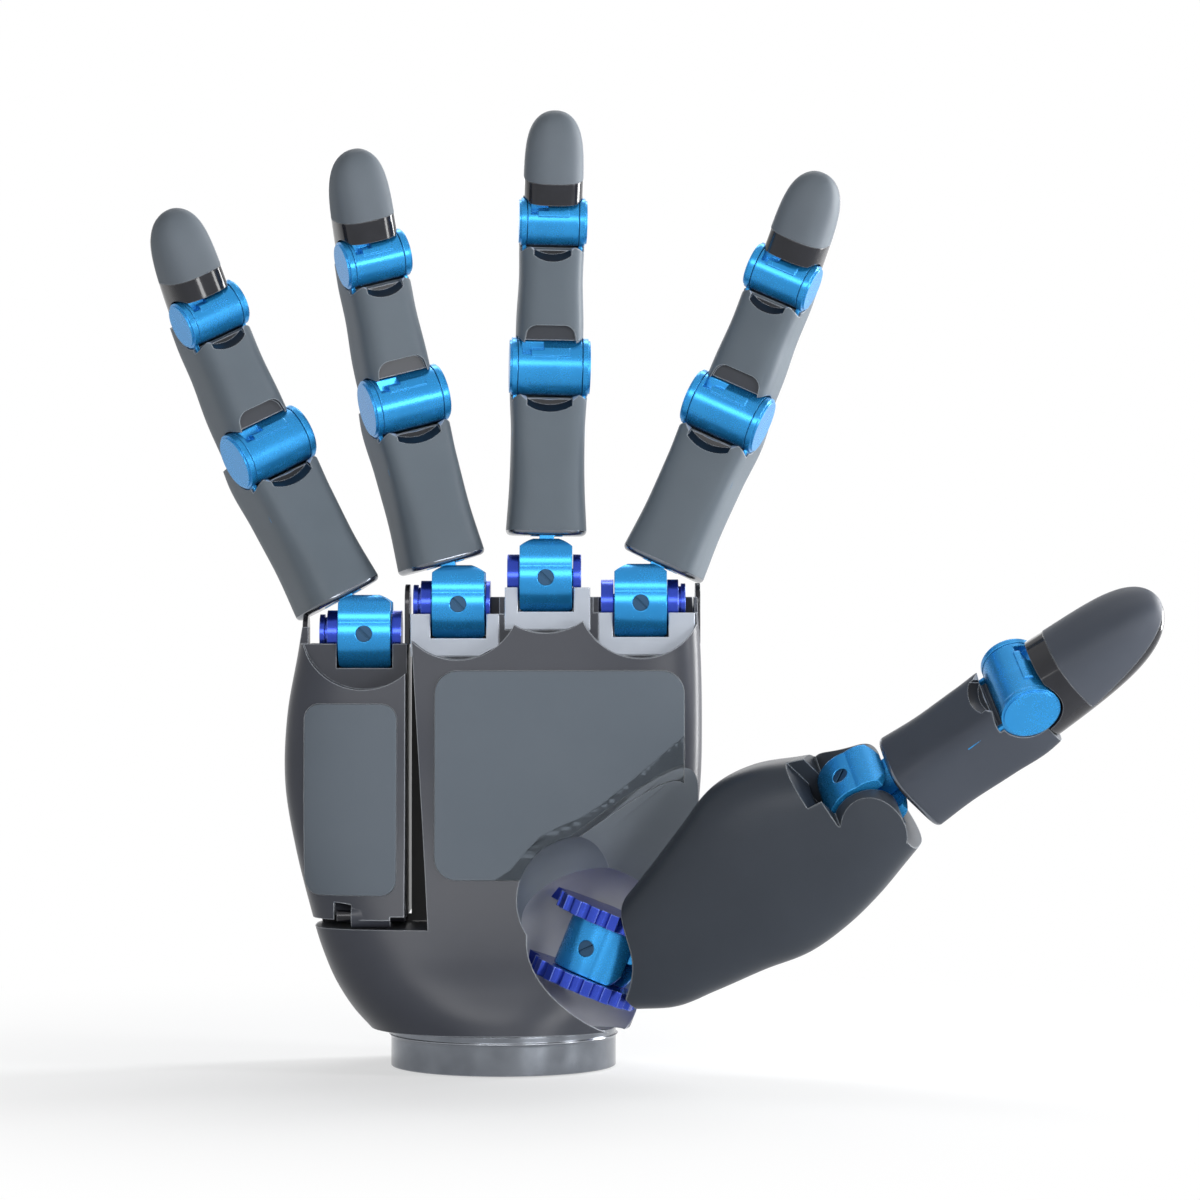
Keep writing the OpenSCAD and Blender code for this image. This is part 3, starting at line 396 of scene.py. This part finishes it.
def rounded(low, high, r):
    """A rectangle's outline with quarter circles at its corners."""
    turn = np.linspace(0, np.pi / 2, 12)
    steps = turn[None] + np.arange(4)[:, None] * np.pi / 2
    centres = np.array([[high[0] - r, high[1] - r], [low[0] + r, high[1] - r],
                        [low[0] + r, low[1] + r], [high[0] - r, low[1] + r]])
    return (centres[:, None] + r * np.stack([np.cos(steps), np.sin(steps)], -1)).reshape(-1, 2)


SEAT_GAP, PAD_DEPTH, PAD_REACH = 0.02, 1.6, 40


def palm_pad_tool(grow):
    """The palm pad's outline, grown by an amount: a rounded field less what lies under an S curve."""
    face = Seat().along(1)
    corners = rounded([-14.8 - grow, 42 - grow], [40 + grow, 87.7 + grow], 5)
    field = sleeve("tool", stacked(corners, [0, PAD_REACH]), face)
    s_curve = np.array([[-2, 30], [-1.5, 42], [2, 44.2], [5.6, 48.6], [8.6, 51.6], [12.5, 53.6], [17, 55.4],
                        [21.5, 58.2], [28, 63.3], [45, 77.6], [60, 77.6], [60, 30]]) - [0, grow]
    return shaped(field, "DIFFERENCE", sleeve("tool", stacked(s_curve, [-6, PAD_REACH + 6]), face))


def little_pad_tool(grow):
    corners = rounded([-43.6 - grow, 38.6 - grow], [-23.2 + grow, 80.4 + grow], 3.4)
    return sleeve("tool", stacked(corners, [0, PAD_REACH]), Seat().along(1))


def pocket(tool, depth):
    """The part of a pad's tool that lies outside the hand's form sunk by a depth."""
    return shaped(tool, "DIFFERENCE", hand_form(-depth))


def housed(name, colour, cast=0.0):
    """The housings' satin coat: slow clouds, fine grain and thin bright lines along the edges, partly scuffing
    and partly painted highlight.
    """
    made = Finish(name, colour, 0.40, cast,
                  **{"Coat Weight": 0.2, "Coat Roughness": 0.27, "Specular IOR Level": 0.15})
    smooth, edge_scuff_and_highlight = made.edges(0.00045)
    cloud = made.noise(0.012, 3)
    grain = made.noise(0.0003, 2)
    tone = made.blend(cloud, (*np.multiply(colour, 0.9), 1), (*np.multiply(colour, 1.12), 1))
    made.set(**{"Base Color": made.blend(edge_scuff_and_highlight * 0.9, tone, (0.56, 0.60, 0.65, 1)),
                "Roughness": cloud * 0.10 + 0.35, "Normal": made.bump(grain, 0.00002, 0.5, smooth)})
    return made


anthracite = housed("anthracite_housing", (0.044, 0.048, 0.061))
# The thumb's groove and socket are painted lighter than the housing: partly a lighter surface, partly painted
# light lifting the thumb's shade.
groove_face_painted_light = housed("groove_face_painted_light", (0.180, 0.204, 0.232))
socket_face_painted_light = housed("socket_face_painted_light", (0.50, 0.51, 0.53))

lid_front, lid_foot = 10, 35.2
palm = shaped(hand_form(), "DIFFERENCE", little_space(),
              *knuckle_room("index"), *knuckle_room("long"), *knuckle_room("ring"),
              *thumb_room(), pocket(palm_pad_tool(SEAT_GAP), PAD_DEPTH),
              block([-FAR, lid_front, lid_foot], [FAR, FAR, FAR]))
finished(palm, "palm_housing", anthracite, "body_metal", "palm", "palm_shell", angle=12)

# ---- Back cover ----
# A plain lid over the drives, screwed to the housing from behind, on the housing's own curves.
over_blocks = [block([-knuckle_blocks_reach[f][0] - 2, 0, -3.2], [knuckle_blocks_reach[f][1] + 2, FAR, FAR],
                     Seat(knuckle[f])) for f in ("index", "long", "ring")]
cover = shaped(hand_form(), "DIFFERENCE",
               block([-FAR, -FAR, 0], [FAR, lid_front + SEAT_GAP, FAR]),
               block([-FAR, 0, 0], [FAR, FAR, lid_foot + SEAT_GAP]), little_space(), *over_blocks)
finished(cover, "palm_back_lid", anthracite, "body_metal", "palm", "palm_back_cover")

# ---- Grip pads ----
# Moulded grey skins that lie in shallow pockets of the palm and of the little metacarpal.
grip = Finish("grip_skin", (0.118, 0.141, 0.168), 0.62, **{"Specular IOR Level": 0.15})
smooth, edge_scuff_and_highlight = grip.edges(0.0004)
cloud = grip.noise(0.02, 3)
grain = grip.noise(0.00022, 2)
tone = grip.blend(cloud, (0.108, 0.131, 0.158, 1), (0.130, 0.153, 0.180, 1))
# Edges lightened: partly scuffing, partly painted highlight.
grip.set(**{"Base Color": grip.blend(edge_scuff_and_highlight * 0.45, tone, (0.30, 0.33, 0.37, 1)),
            "Roughness": grain * 0.12 + 0.52,
            "Normal": grip.bump(grain, 0.00003, 0.6, smooth)})
proud = 0.5
pad = shaped(palm_pad_tool(-SEAT_GAP), "INTERSECT", hand_form(proud))
pad = shaped(pad, "DIFFERENCE", hand_form(SEAT_GAP - PAD_DEPTH), *thumb_room())
finished(pad, "palm_grip", grip, "soft_pad", "palm", "palm_pad")
pad = shaped(little_pad_tool(-SEAT_GAP), "INTERSECT", hand_form(proud))
pad = shaped(pad, "DIFFERENCE", hand_form(SEAT_GAP - PAD_DEPTH))
finished(pad, "little_grip", grip, "soft_pad", "little_metacarpal", "little_metacarpal_pad")

# ---- Shade sheets in the gaps ----
# Two black sheets are bonded to the palm and paint the shade inside its gaps: one closes the wedge gap
# in front of the back cover, the other the ledge under the folding metacarpal. Their free edges stay clear of
# it.
# Near-black: painted shade in the gaps.
gap_shade = Finish("gap_shade_black", (0.006, 0.006, 0.008), 0.55)
grain = gap_shade.noise(0.0004, 2)
gap_shade.set(**{"Base Color": gap_shade.blend(grain, (0.004, 0.004, 0.006, 1), (0.010, 0.010, 0.013, 1)),
              "Roughness": grain * 0.2 + 0.45, "Normal": gap_shade.bump(grain, 0.00003, 0.6)})
wedge = [[-20.8, 31.3], [-15.6, 31.3], [-19.4, 97], [-20.8, 97]]
shade_sheet_inset = -0.6
shade_sheet = shaped(sleeve("shade_sheet", stacked(wedge, [-7.2, -6.0]), Seat().along(1)), "INTERSECT", hand_form(shade_sheet_inset))
finished(shade_sheet, "wedge_shade_sheet", gap_shade, "soft_pad", "palm")
shade_sheet = shaped(block([-FAR, 6.2, 31.2], [-20.6, 7.4, 32.9]), "INTERSECT", hand_form(shade_sheet_inset))
finished(shade_sheet, "ledge_shade_sheet", gap_shade, "soft_pad", "palm")

# ---- Wrist flange ----
# A round foot of polished, dark anodised aluminium, turned on a lathe and screwed to the arm.
polished = Finish("polished_foot", (0.17, 0.18, 0.20), 0.20, 0.95)
smooth, edge_scuff_and_highlight = polished.edges(0.0005)
grain = polished.noise(0.0008, 3)
blotches = polished.noise(0.006, 4)
tone = polished.blend(blotches, (0.11, 0.12, 0.14, 1), (0.25, 0.27, 0.30, 1))
# Edges lightened: partly scuffing, partly painted highlight.
polished.set(**{"Base Color": polished.blend(edge_scuff_and_highlight * 0.5, tone, (0.62, 0.65, 0.70, 1)),
                "Roughness": blotches * 0.14 + 0.12, "Normal": polished.bump(grain, 0.000006, 0.2, smooth)})


def dressed(finish, *nodes):
    """CAD nodes that keep their own shape and take a finish."""
    for node in nodes:
        piece = frame["nodes"][node]
        piece.data.materials.clear()
        piece.data.materials.append(finish.material)


dressed(polished, "wrist_flange")

# ---- Little metacarpal ----
# The palm's outer edge is a separate housing that folds on a pin; the wedge gap beside it closes.
left = knuckle_blocks_reach["little"][0]
seat = Seat(knuckle["little"])
inner_edge = -21.3
housing = shaped(hand_form(), "INTERSECT", block([-FAR, -FAR, 33.2], [inner_edge, FAR, FAR]))
housing = shaped(housing, "DIFFERENCE",
                 rod(14, 5.4, 40, seat.moved(z=1.7).along(1), 160),
                 block([-14, -40, 1.7], [14, -5.4, FAR], seat),
                 block([-left, -5.5, -11.6], [FAR, 9, FAR], seat),
                 block([-FAR, 1, -3.2], [FAR, FAR, FAR], seat),
                 block([-FAR, -FAR, -2.2], [FAR, -3.4, FAR], seat),
                 block([-FAR, -FAR, 1.5], [FAR, FAR, FAR], seat),
                 pocket(little_pad_tool(SEAT_GAP), PAD_DEPTH))
hinge = joint_place("little_metacarpal_fold")
hinge_seat = Seat([0, hinge[1], hinge[2]])
lug_width, lug_gap, lug_radius = 3.0, 0.4, 3.0
for start in (-36.4, -24.0):
    low, high = start - lug_gap, start + lug_width + lug_gap
    housing = shaped(housing, "DIFFERENCE", rod(lug_radius, low, high, hinge_seat.along(0)),
                     block([low, -14.6, -10], [high, 8, 0], hinge_seat))
# The axle's two hole radii and the larger one's reach, and half the drum's slot.
AXLE_HOLE, AXLE_END_HOLE, AXLE_REACH, DRUM_HALF = 5.22, 4.32, 9.67, 6.2
inner_side = inner_edge - knuckle["little"][0]
knuckle_block = shaped(block([-left, -5.4, -12.1], [inner_side, 9, -2.2], seat), "DIFFERENCE",
                       rod(8.4, -DRUM_HALF, DRUM_HALF, seat.along(0), 128),
                       rod(AXLE_HOLE, -AXLE_REACH, AXLE_REACH, seat.along(0)),
                       rod(AXLE_END_HOLE, -FAR, FAR, seat.along(0)),
                       block([-DRUM_HALF, -FAR, -7.6], [DRUM_HALF, 0, FAR], seat))
housing = shaped(housing, "UNION", knuckle_block)
housing = shaped(housing, "UNION", rod(2.6, -33, -24.4, hinge_seat.along(0)))
finished(housing, "little_housing", anthracite, "body_metal", "little_metacarpal", "little_metacarpal_shell")

# ---- Knuckles ----
# Each finger stands on a satin blue drum that rolls on two grooved stub axles in a grey block;
# a slotted screw through the drum lets the finger swing sideways.
def metal(name, dark, light, scuff_and_highlight, roughness, cast, scuff_and_highlight_share=0.6, radius=0.0004):
    """Machined metal: cloudy between two tones, fine grain, and its edges lightened to a third tone, partly
    scuffing and partly painted highlight.
    """
    made = Finish(name, dark, roughness, cast)
    smooth, edge_scuff_and_highlight = made.edges(radius)
    grain = made.noise(0.0003, 2)
    cloud = made.noise(0.006, 2)
    tone = made.blend(cloud, (*dark, 1), (*light, 1))
    made.set(**{"Base Color": made.blend(edge_scuff_and_highlight * scuff_and_highlight_share, tone, (*scuff_and_highlight, 1)),
                "Roughness": grain * 0.06 + cloud * 0.08 + (roughness - 0.07),
                "Normal": made.bump(grain, 0.000003, 0.1, smooth)})
    return made


milled = metal("milled_block", (0.26, 0.285, 0.33), (0.33, 0.36, 0.41), (0.80, 0.84, 0.90), 0.36, 0.5, 0.9)
cyan = metal("sky_anodised", (0.015, 0.235, 0.56), (0.026, 0.30, 0.68), (0.10, 0.48, 0.95), 0.27, 0.6, 0.3,
             0.00035)
royal = metal("royal_anodised", (0.020, 0.045, 0.36), (0.035, 0.075, 0.50), (0.32, 0.45, 1.0), 0.24, 0.75, 0.75)
steel = metal("blackened_screw", (0.010, 0.040, 0.085), (0.020, 0.060, 0.12), (0.12, 0.30, 0.46), 0.34, 0.7, 0.5,
              0.0002)
fingers = ("index", "long", "ring", "little")
dressed(milled, "knuckle_blocks")
dressed(royal, "knuckle_axles", "little_knuckle_axle", "thumb_base_bracket", "thumb_knuckle_axle")
dressed(cyan, "thumb_base_yoke", "thumb_yoke", "thumb_metacarpal_frame", "thumb_proximal_frame",
        "thumb_distal_frame",
        *[f + part for f in fingers for part in ("_yoke", "_proximal_frame", "_middle_frame", "_distal_frame")])
dressed(steel, "thumb_base_pivot", "thumb_pivot_screw", *[f + "_pivot_screw" for f in fingers])

# ---- Axle guards ----
# Small plates with round heads stand at the open ends of three axles and keep dust off them; their near-black
# colour is painted shade, and the little metacarpal's hinge pin has the same near-black finish.
def arc(radius, start, end, count=48):
    turn = np.radians(np.linspace(start, end, count))
    return np.stack([radius * np.cos(turn), radius * np.sin(turn)], -1)


# Near-black: painted shade on the axle-end plates and the hinge pin.
plate_painted_shade = metal("plate_shade_black", (0.008, 0.008, 0.011), (0.016, 0.016, 0.020), (0.30, 0.32, 0.36), 0.2, 0.3, 0.5)
dressed(plate_painted_shade, "little_hinge_pin")
guard_radius, guard_lean, guard_foot, guard_thickness = 4.4, 1.2, -9, 1.1
guard_outline = np.concatenate([arc(guard_radius, 0, 180), [[-guard_radius, guard_foot],
                                                            [guard_radius, guard_foot]]]) + [guard_lean, 0]
for f, start, carrier in (("index", 12.2, "palm"), ("ring", -12.0, "palm"),
                          ("little", -13.9, "little_metacarpal")):
    sides = [start, start + guard_thickness]
    plate = sleeve("plate_painted_shade", stacked(guard_outline, sides), Seat(knuckle[f]).along(0))
    finished(plate, f + "_axle_guard", plate_painted_shade, "pin_steel", carrier)

# ---- Drives in the palm ----
# Three motor cans and their board, closed in by the back cover.
can = Finish("brushed_can", (0.45, 0.46, 0.48), 0.3, 0.9)
marks = can.noise(0.002, 3, (6, 6, 0.4))
can.set(**{"Base Color": can.blend(marks, (0.38, 0.39, 0.41, 1), (0.52, 0.53, 0.55, 1)),
           "Roughness": marks * 0.2 + 0.2})
dressed(can, "palm_drive_pack")

# ---- Finger casings ----
# Two matte grey mouldings per finger, waisted and squarish, scooped where the next piece folds in.
def moulded(name, colour, roughness=0.44, scuff_and_highlight=0.7):
    """A fine-grained moulding: its colour drifts by a tenth and its edges are lighter, partly scuffing and
    partly painted highlight.
    """
    made = Finish(name, colour, roughness, **{"Specular IOR Level": 0.15})
    smooth, edge_scuff_and_highlight = made.edges(0.0005)
    cloud = made.noise(0.012, 3)
    grain = made.noise(0.00025, 2)
    tone = made.blend(cloud, (*np.multiply(colour, 0.92), 1), (*np.multiply(colour, 1.09), 1))
    made.set(**{"Base Color": made.blend(edge_scuff_and_highlight * scuff_and_highlight, tone, (0.46, 0.50, 0.54, 1)),
                "Roughness": grain * 0.12 + (roughness - 0.06),
                "Normal": made.bump(grain, 0.00003, 0.5, smooth)})
    return made


matte = moulded("finger_moulding", (0.112, 0.136, 0.160))
thumb_matte = moulded("thumb_moulding", (0.052, 0.060, 0.077))
casing_finish = moulded("thumb_casing_moulding", (0.040, 0.047, 0.059), 0.38)


def unit(v):
    return v / np.linalg.norm(v)


def casing(stations, rim, count=40, sides=88):
    """A loft through the stations whose first edge is rounded: its rings shrink as a quarter circle."""
    body = squircles(between(np.array(stations, float), count), sides)
    turn = np.linspace(0, np.pi / 2, 7)[:-1, None]
    edge = np.repeat(np.array(stations[:1], float), len(turn), 0)
    inset = rim * (1 - np.sin(turn))[:, 0]
    edge[:, 0] -= rim * np.cos(turn)[:, 0]
    edge[:, 1] += inset
    edge[:, 2] -= inset
    edge[:, 3] += inset
    edge[:, 4] -= inset
    return np.concatenate([squircles(edge, sides), body])


# The crescents' light grey is a painted highlight on the scoops' bevels.
crescent_painted_highlight = housed("crescent_painted_highlight", (0.36, 0.38, 0.42), 0.4)
# The slots' near-black is painted shade.
slot_painted_shade = housed("slot_painted_shade", (0.006, 0.007, 0.010))
# The arch ramps' dark grey is painted shade.
ramp_painted_shade = housed("ramp_painted_shade", (0.042, 0.046, 0.055))
end_ring = metal("end_ring", (0.10, 0.11, 0.13), (0.20, 0.22, 0.25), (0.80, 0.84, 0.88), 0.2, 0.85)


CASING_FRONT = -4.9
MIDDLE_BARREL, TIP_BARREL = 6.35, 5.2


def crescent(r, seat, drop=0.0, finish=None):
    """A leaning rod whose ellipse on the front face dips under a barrel of radius r."""
    centre = seat.moved(y=CASING_FRONT, z=1.48 * r - drop)
    return rod(2.08 * r, -FAR, FAR, centre.turned(0, 45).along(1), 192, finish)


def upper_end(r, seat):
    """Tools for a casing's forked upper end: barrel room, crescent painted light grey as a highlight, and slot
    painted near-black as shade.
    """
    room = np.concatenate([[[0, FAR], [-FAR, FAR], [-FAR, 0]], arc(r + 1.5, 180, 270), arc(r + 0.5, 270, 450)])
    slot_drop, slot_back = 1.1, -3.1
    slot = shaped(crescent(r, seat, slot_drop, slot_painted_shade), "INTERSECT",
                  block([-0.8 * r, -FAR, -3 * r], [0.8 * r, slot_back, -1], seat))
    return [sleeve("tool", stacked(room, [-FAR, FAR]), seat.along(0)),
            crescent(r, seat, 0, crescent_painted_highlight), slot]


def banded(piece, seat, height, finish):
    """Faces whose centres lie below a height along the seat take a second finish."""
    mesh = piece.data
    centres, index = np.empty(len(mesh.polygons) * 3), np.empty(len(mesh.polygons), np.int32)
    mesh.polygons.foreach_get("center", centres)
    mesh.polygons.foreach_get("material_index", index)
    index[(centres.reshape(-1, 3) / MM - seat.point) @ seat.rows[2] < height] = len(mesh.materials)
    mesh.materials.append(finish.material)
    mesh.polygons.foreach_set("material_index", index)


def proximal_casing(seat, length, name, body, node, finish):
    """A first phalanx's casing, waisted at 0.62 of its length, with a bright ring round its foot."""
    half, front, back, base, top = 8.95, CASING_FRONT, 15.1, 9.4, length + 0.25
    waist = base + (top - base) * 0.62
    rows = [[base + 1.1, -half, half, front, back, 4],
            [(base + waist) / 2, -half + 0.6, half - 0.6, front + 0.1, back - 0.3, 4],
            [waist, -half + 0.8, half - 0.8, front + 0.2, back - 0.7, 5.5],
            [top - 3, -half + 0.5, half - 0.5, front, back - 0.8, 5.5],
            [top, -half + 0.8, half - 0.8, front + 0.3, back - 1.2, 5.5]]
    shell = shaped(sleeve(name, casing(rows, 1.1), seat), "DIFFERENCE",
                   *upper_end(MIDDLE_BARREL, seat.moved(z=length)),
                   block([-1.62, -3.9, base - 1], [1.62, 3.9, base + 1.2], seat))
    finished(shell, name, finish, "finger_casing", body, node)
    banded(shell, seat, base + 1.15, end_ring)


def middle_casing(seat, length, name, body, node):
    """A second phalanx's casing: an arch opens its foot over the barrel that it turns on."""
    half, front, back = 7.45, CASING_FRONT, 13.5
    rows = [[1.0, -half, half, front + 0.2, back, 4],
            [length * 0.3, -half, half, front + 0.2, back, 4],
            [length * 0.6, -half + 0.4, half - 0.4, front + 0.3, back - 1, 4],
            [length * 0.85, -half + 0.3, half - 0.3, front + 0.2, back - 1.6, 4],
            [length + 0.2, -half + 0.5, half - 0.5, front + 0.4, back - 2.2, 4]]
    lower = np.concatenate([[[-FAR, 5.75], [-FAR, -FAR], [0, -FAR]], arc(6.85, -90, 122.9)])
    arch = np.concatenate([[[-6.7, 0], [6.7, 0]], arc(2.6, 15, 90, 12) + [2.9, 7.15],
                           arc(2.6, 90, 165, 12) + [-2.9, 7.15]])
    shell = shaped(sleeve(name, casing(rows, 0.35), seat), "DIFFERENCE",
                   sleeve("tool", stacked(lower, [-FAR, FAR]), seat.along(0)),
                   sleeve("tool", stacked(arch, [2.8, FAR]), seat.along(1), ramp_painted_shade),
                   *upper_end(TIP_BARREL, seat.moved(z=length)))
    finished(shell, name, matte, "finger_casing", body, node)


# ---- Fingertips ----
# A hard gloss-black back carries a soft grey pad that wraps over the front and the very tip.
gloss = Finish("gloss_back", (0.012, 0.013, 0.018), 0.12,
               **{"Coat Weight": 0.3, "Coat Roughness": 0.05, "Specular IOR Level": 0.2})
smooth, edge_scuff_and_highlight = gloss.edges(0.0004)
cloud = gloss.noise(0.004, 3)
tone = gloss.blend(cloud, (0.010, 0.011, 0.015, 1), (0.018, 0.019, 0.025, 1))
# Edges lightened: partly scuffing, partly painted highlight.
gloss.set(**{"Base Color": gloss.blend(edge_scuff_and_highlight * 0.5, tone, (0.35, 0.37, 0.40, 1)),
             "Roughness": cloud * 0.08 + 0.08, "Normal": smooth})
skin = moulded("tip_skin", (0.130, 0.152, 0.176), 0.56, 0.3)
thumb_skin = moulded("thumb_tip_skin", (0.068, 0.077, 0.097), 0.5, 0.3)


def tip_form(length, half, front, back, seat):
    """A fingertip: superellipse rings that narrow as (1 - t^5.6)^0.5 and drift forward as t^2."""
    t = np.sin(np.linspace(0, np.pi / 2, 56)) * 0.999
    width = half * (1 - t**5.6) ** 0.5
    middle = (front + back) / 2 * (1 - 0.62 * t * t)
    depth = (back - front) / 2 * (1 - 0.26 * t) * (1 - t**4.6) ** 0.5
    foot, squareness = 0.7, 2.7
    rows = np.stack([foot + (length - foot) * t, -width, width, middle - depth, middle + depth,
                     np.full_like(t, squareness)], -1)
    return sleeve("tip", squircles(rows, 96), seat)


def fingertip(seat, length, sizes, name, body, finish):
    """A tip form split along a slanting line into its back and its skin, over the frame's tongue."""
    r, half, front, back, start = sizes

    def split(gap):
        side = [[-FAR, start + gap], [back - 4.5 - gap, start + gap], [1.6 - gap, length + 1],
                [1.6 - gap, FAR], [-FAR, FAR]]
        return sleeve("tool", stacked(side, [-FAR, FAR]), seat.along(0))

    def tongue_room():
        return block([-2.52, -1.52, r - 1], [2.52, 3.52, length * 0.55 + SEAT_GAP], seat)

    shell = shaped(tip_form(length, half, front, back, seat), "DIFFERENCE", split(0),
                   rod(r + 0.5, -FAR, FAR, seat.along(0), 128),
                   block([-FAR, -FAR, -FAR], [FAR, 0, r - 0.4], seat), tongue_room())
    finished(shell, name + "_tip_back", gloss, "gloss_dark", body, name + "_distal_shell")
    pad = shaped(tip_form(length, half, front, back, seat), "INTERSECT", split(SEAT_GAP))
    pad = shaped(pad, "DIFFERENCE", tongue_room())
    finished(pad, name + "_tip_skin", finish, "soft_pad", body, name + "_tip_pad")


def phalanx_seats(finger):
    """Seats at a finger's joints: each looks along its phalanx, with its first direction on the pins."""
    base, one, two = [joint_place(finger + part) for part in ("_knuckle_bend", "_middle_bend", "_tip_bend")]
    across = joint_axis(finger + "_middle_bend")
    up, up_next = unit(one - base), unit(two - one)
    first = Seat(base, [across, np.cross(up, across), up])
    second = Seat(one, [across, np.cross(up_next, across), up_next])
    bend = np.degrees(np.arcsin(np.dot(np.cross(up, up_next), across)))
    return [first, second, Seat(two, second.rows).turned(0, bend)]


# Barrel radius, half width, front, back and the skin's start.
finger_tip, finger_tip_length = (TIP_BARREL, 6.6, -5.2, 11, 9.6), 24.8
for f in fingers:
    seats = phalanx_seats(f)
    lengths = [np.linalg.norm(seats[k + 1].point - seats[k].point) for k in (0, 1)]
    proximal_casing(seats[0], lengths[0], f + "_first_casing", f + "_proximal", f + "_proximal_shell", matte)
    middle_casing(seats[1], lengths[1], f + "_second_casing", f + "_middle", f + "_middle_shell")
    fingertip(seats[2], finger_tip_length, finger_tip, f, f + "_distal", skin)

# ---- Thumb ----
# A swollen anthracite casing hides the drives of the thumb; it is hollowed at the base joint and
# forked round the knuckle's drum, and carries one phalanx and a broad fingertip.
thumb_pin = -joint_axis("thumb_knuckle_bend")
thumb_tip_place = joint_place("thumb_tip_bend")
up = unit(thumb_tip_place - thumb_top)
head = Seat(thumb_top, [thumb_pin, np.cross(up, thumb_pin), up])
tip_seat = Seat(thumb_tip_place, head.rows)
# Distance from the root, left, right, front, back and squareness of the casing's section.
thumb_stations = np.array([
    [3, -5, 15.5, -11.5, 7, 3], [10, -6.3, 19, -12.2, 8.6, 3], [20, -9.6, 20.6, -12.8, 10, 3],
    [32, -14.2, 22, -13.2, 11, 3], [42, -17.9, 23.6, -13.2, 11.4, 3], [52, -17.4, 22.8, -12.6, 11.4, 3],
    [62, -13.6, 20.4, -11.8, 11, 3], [70, -10.5, 17.6, -11, 10.6, 3], [80, -8, 14, -9, 9.2, 3]])
fork = [[-FAR, -8.3], [-3, -8.3], [5.6, 4.6], [FAR, 4.6], [FAR, FAR], [-FAR, FAR]]
cheeks = [[-FAR, -5], [-5.5, -5], [0, 0], [5.6, 4.6], [FAR, 4.6], [FAR, FAR], [-FAR, FAR]]
above = shaped(sleeve("tool", stacked(cheeks, [-FAR, FAR]), head.along(0)), "DIFFERENCE",
               rod(7, -FAR, FAR, head.along(0), 128))
body = sleeve("thumb_casing", squircles(between(thumb_stations, 90), 128), metacarpal_seat)
body = shaped(body, "DIFFERENCE",
              sleeve("tool", stacked(fork, [-DRUM_HALF, DRUM_HALF]), head.along(0)), above,
              ball(16, thumb_root, 160), rod(9.93, -DRUM_HALF, DRUM_HALF, head.along(0), 128),
              rod(AXLE_HOLE, -AXLE_REACH, AXLE_REACH, head.along(0)),
              rod(AXLE_END_HOLE, -9.9, 9.9, head.along(0)),
              block([-4.52, -4.02, 19], [4.52, 4.02, 42], metacarpal_seat))
finished(body, "thumb_housing", casing_finish, "thumb_casing", "thumb_metacarpal", "thumb_metacarpal_shell")
proximal_casing(head, np.linalg.norm(thumb_tip_place - thumb_top), "thumb_first_casing", "thumb_proximal",
                "thumb_proximal_shell", thumb_matte)
thumb_tip, thumb_tip_length = (MIDDLE_BARREL, 9, -6.2, 13.4, 10.5), 35
fingertip(tip_seat, thumb_tip_length, thumb_tip, "thumb", "thumb_distal", thumb_skin)
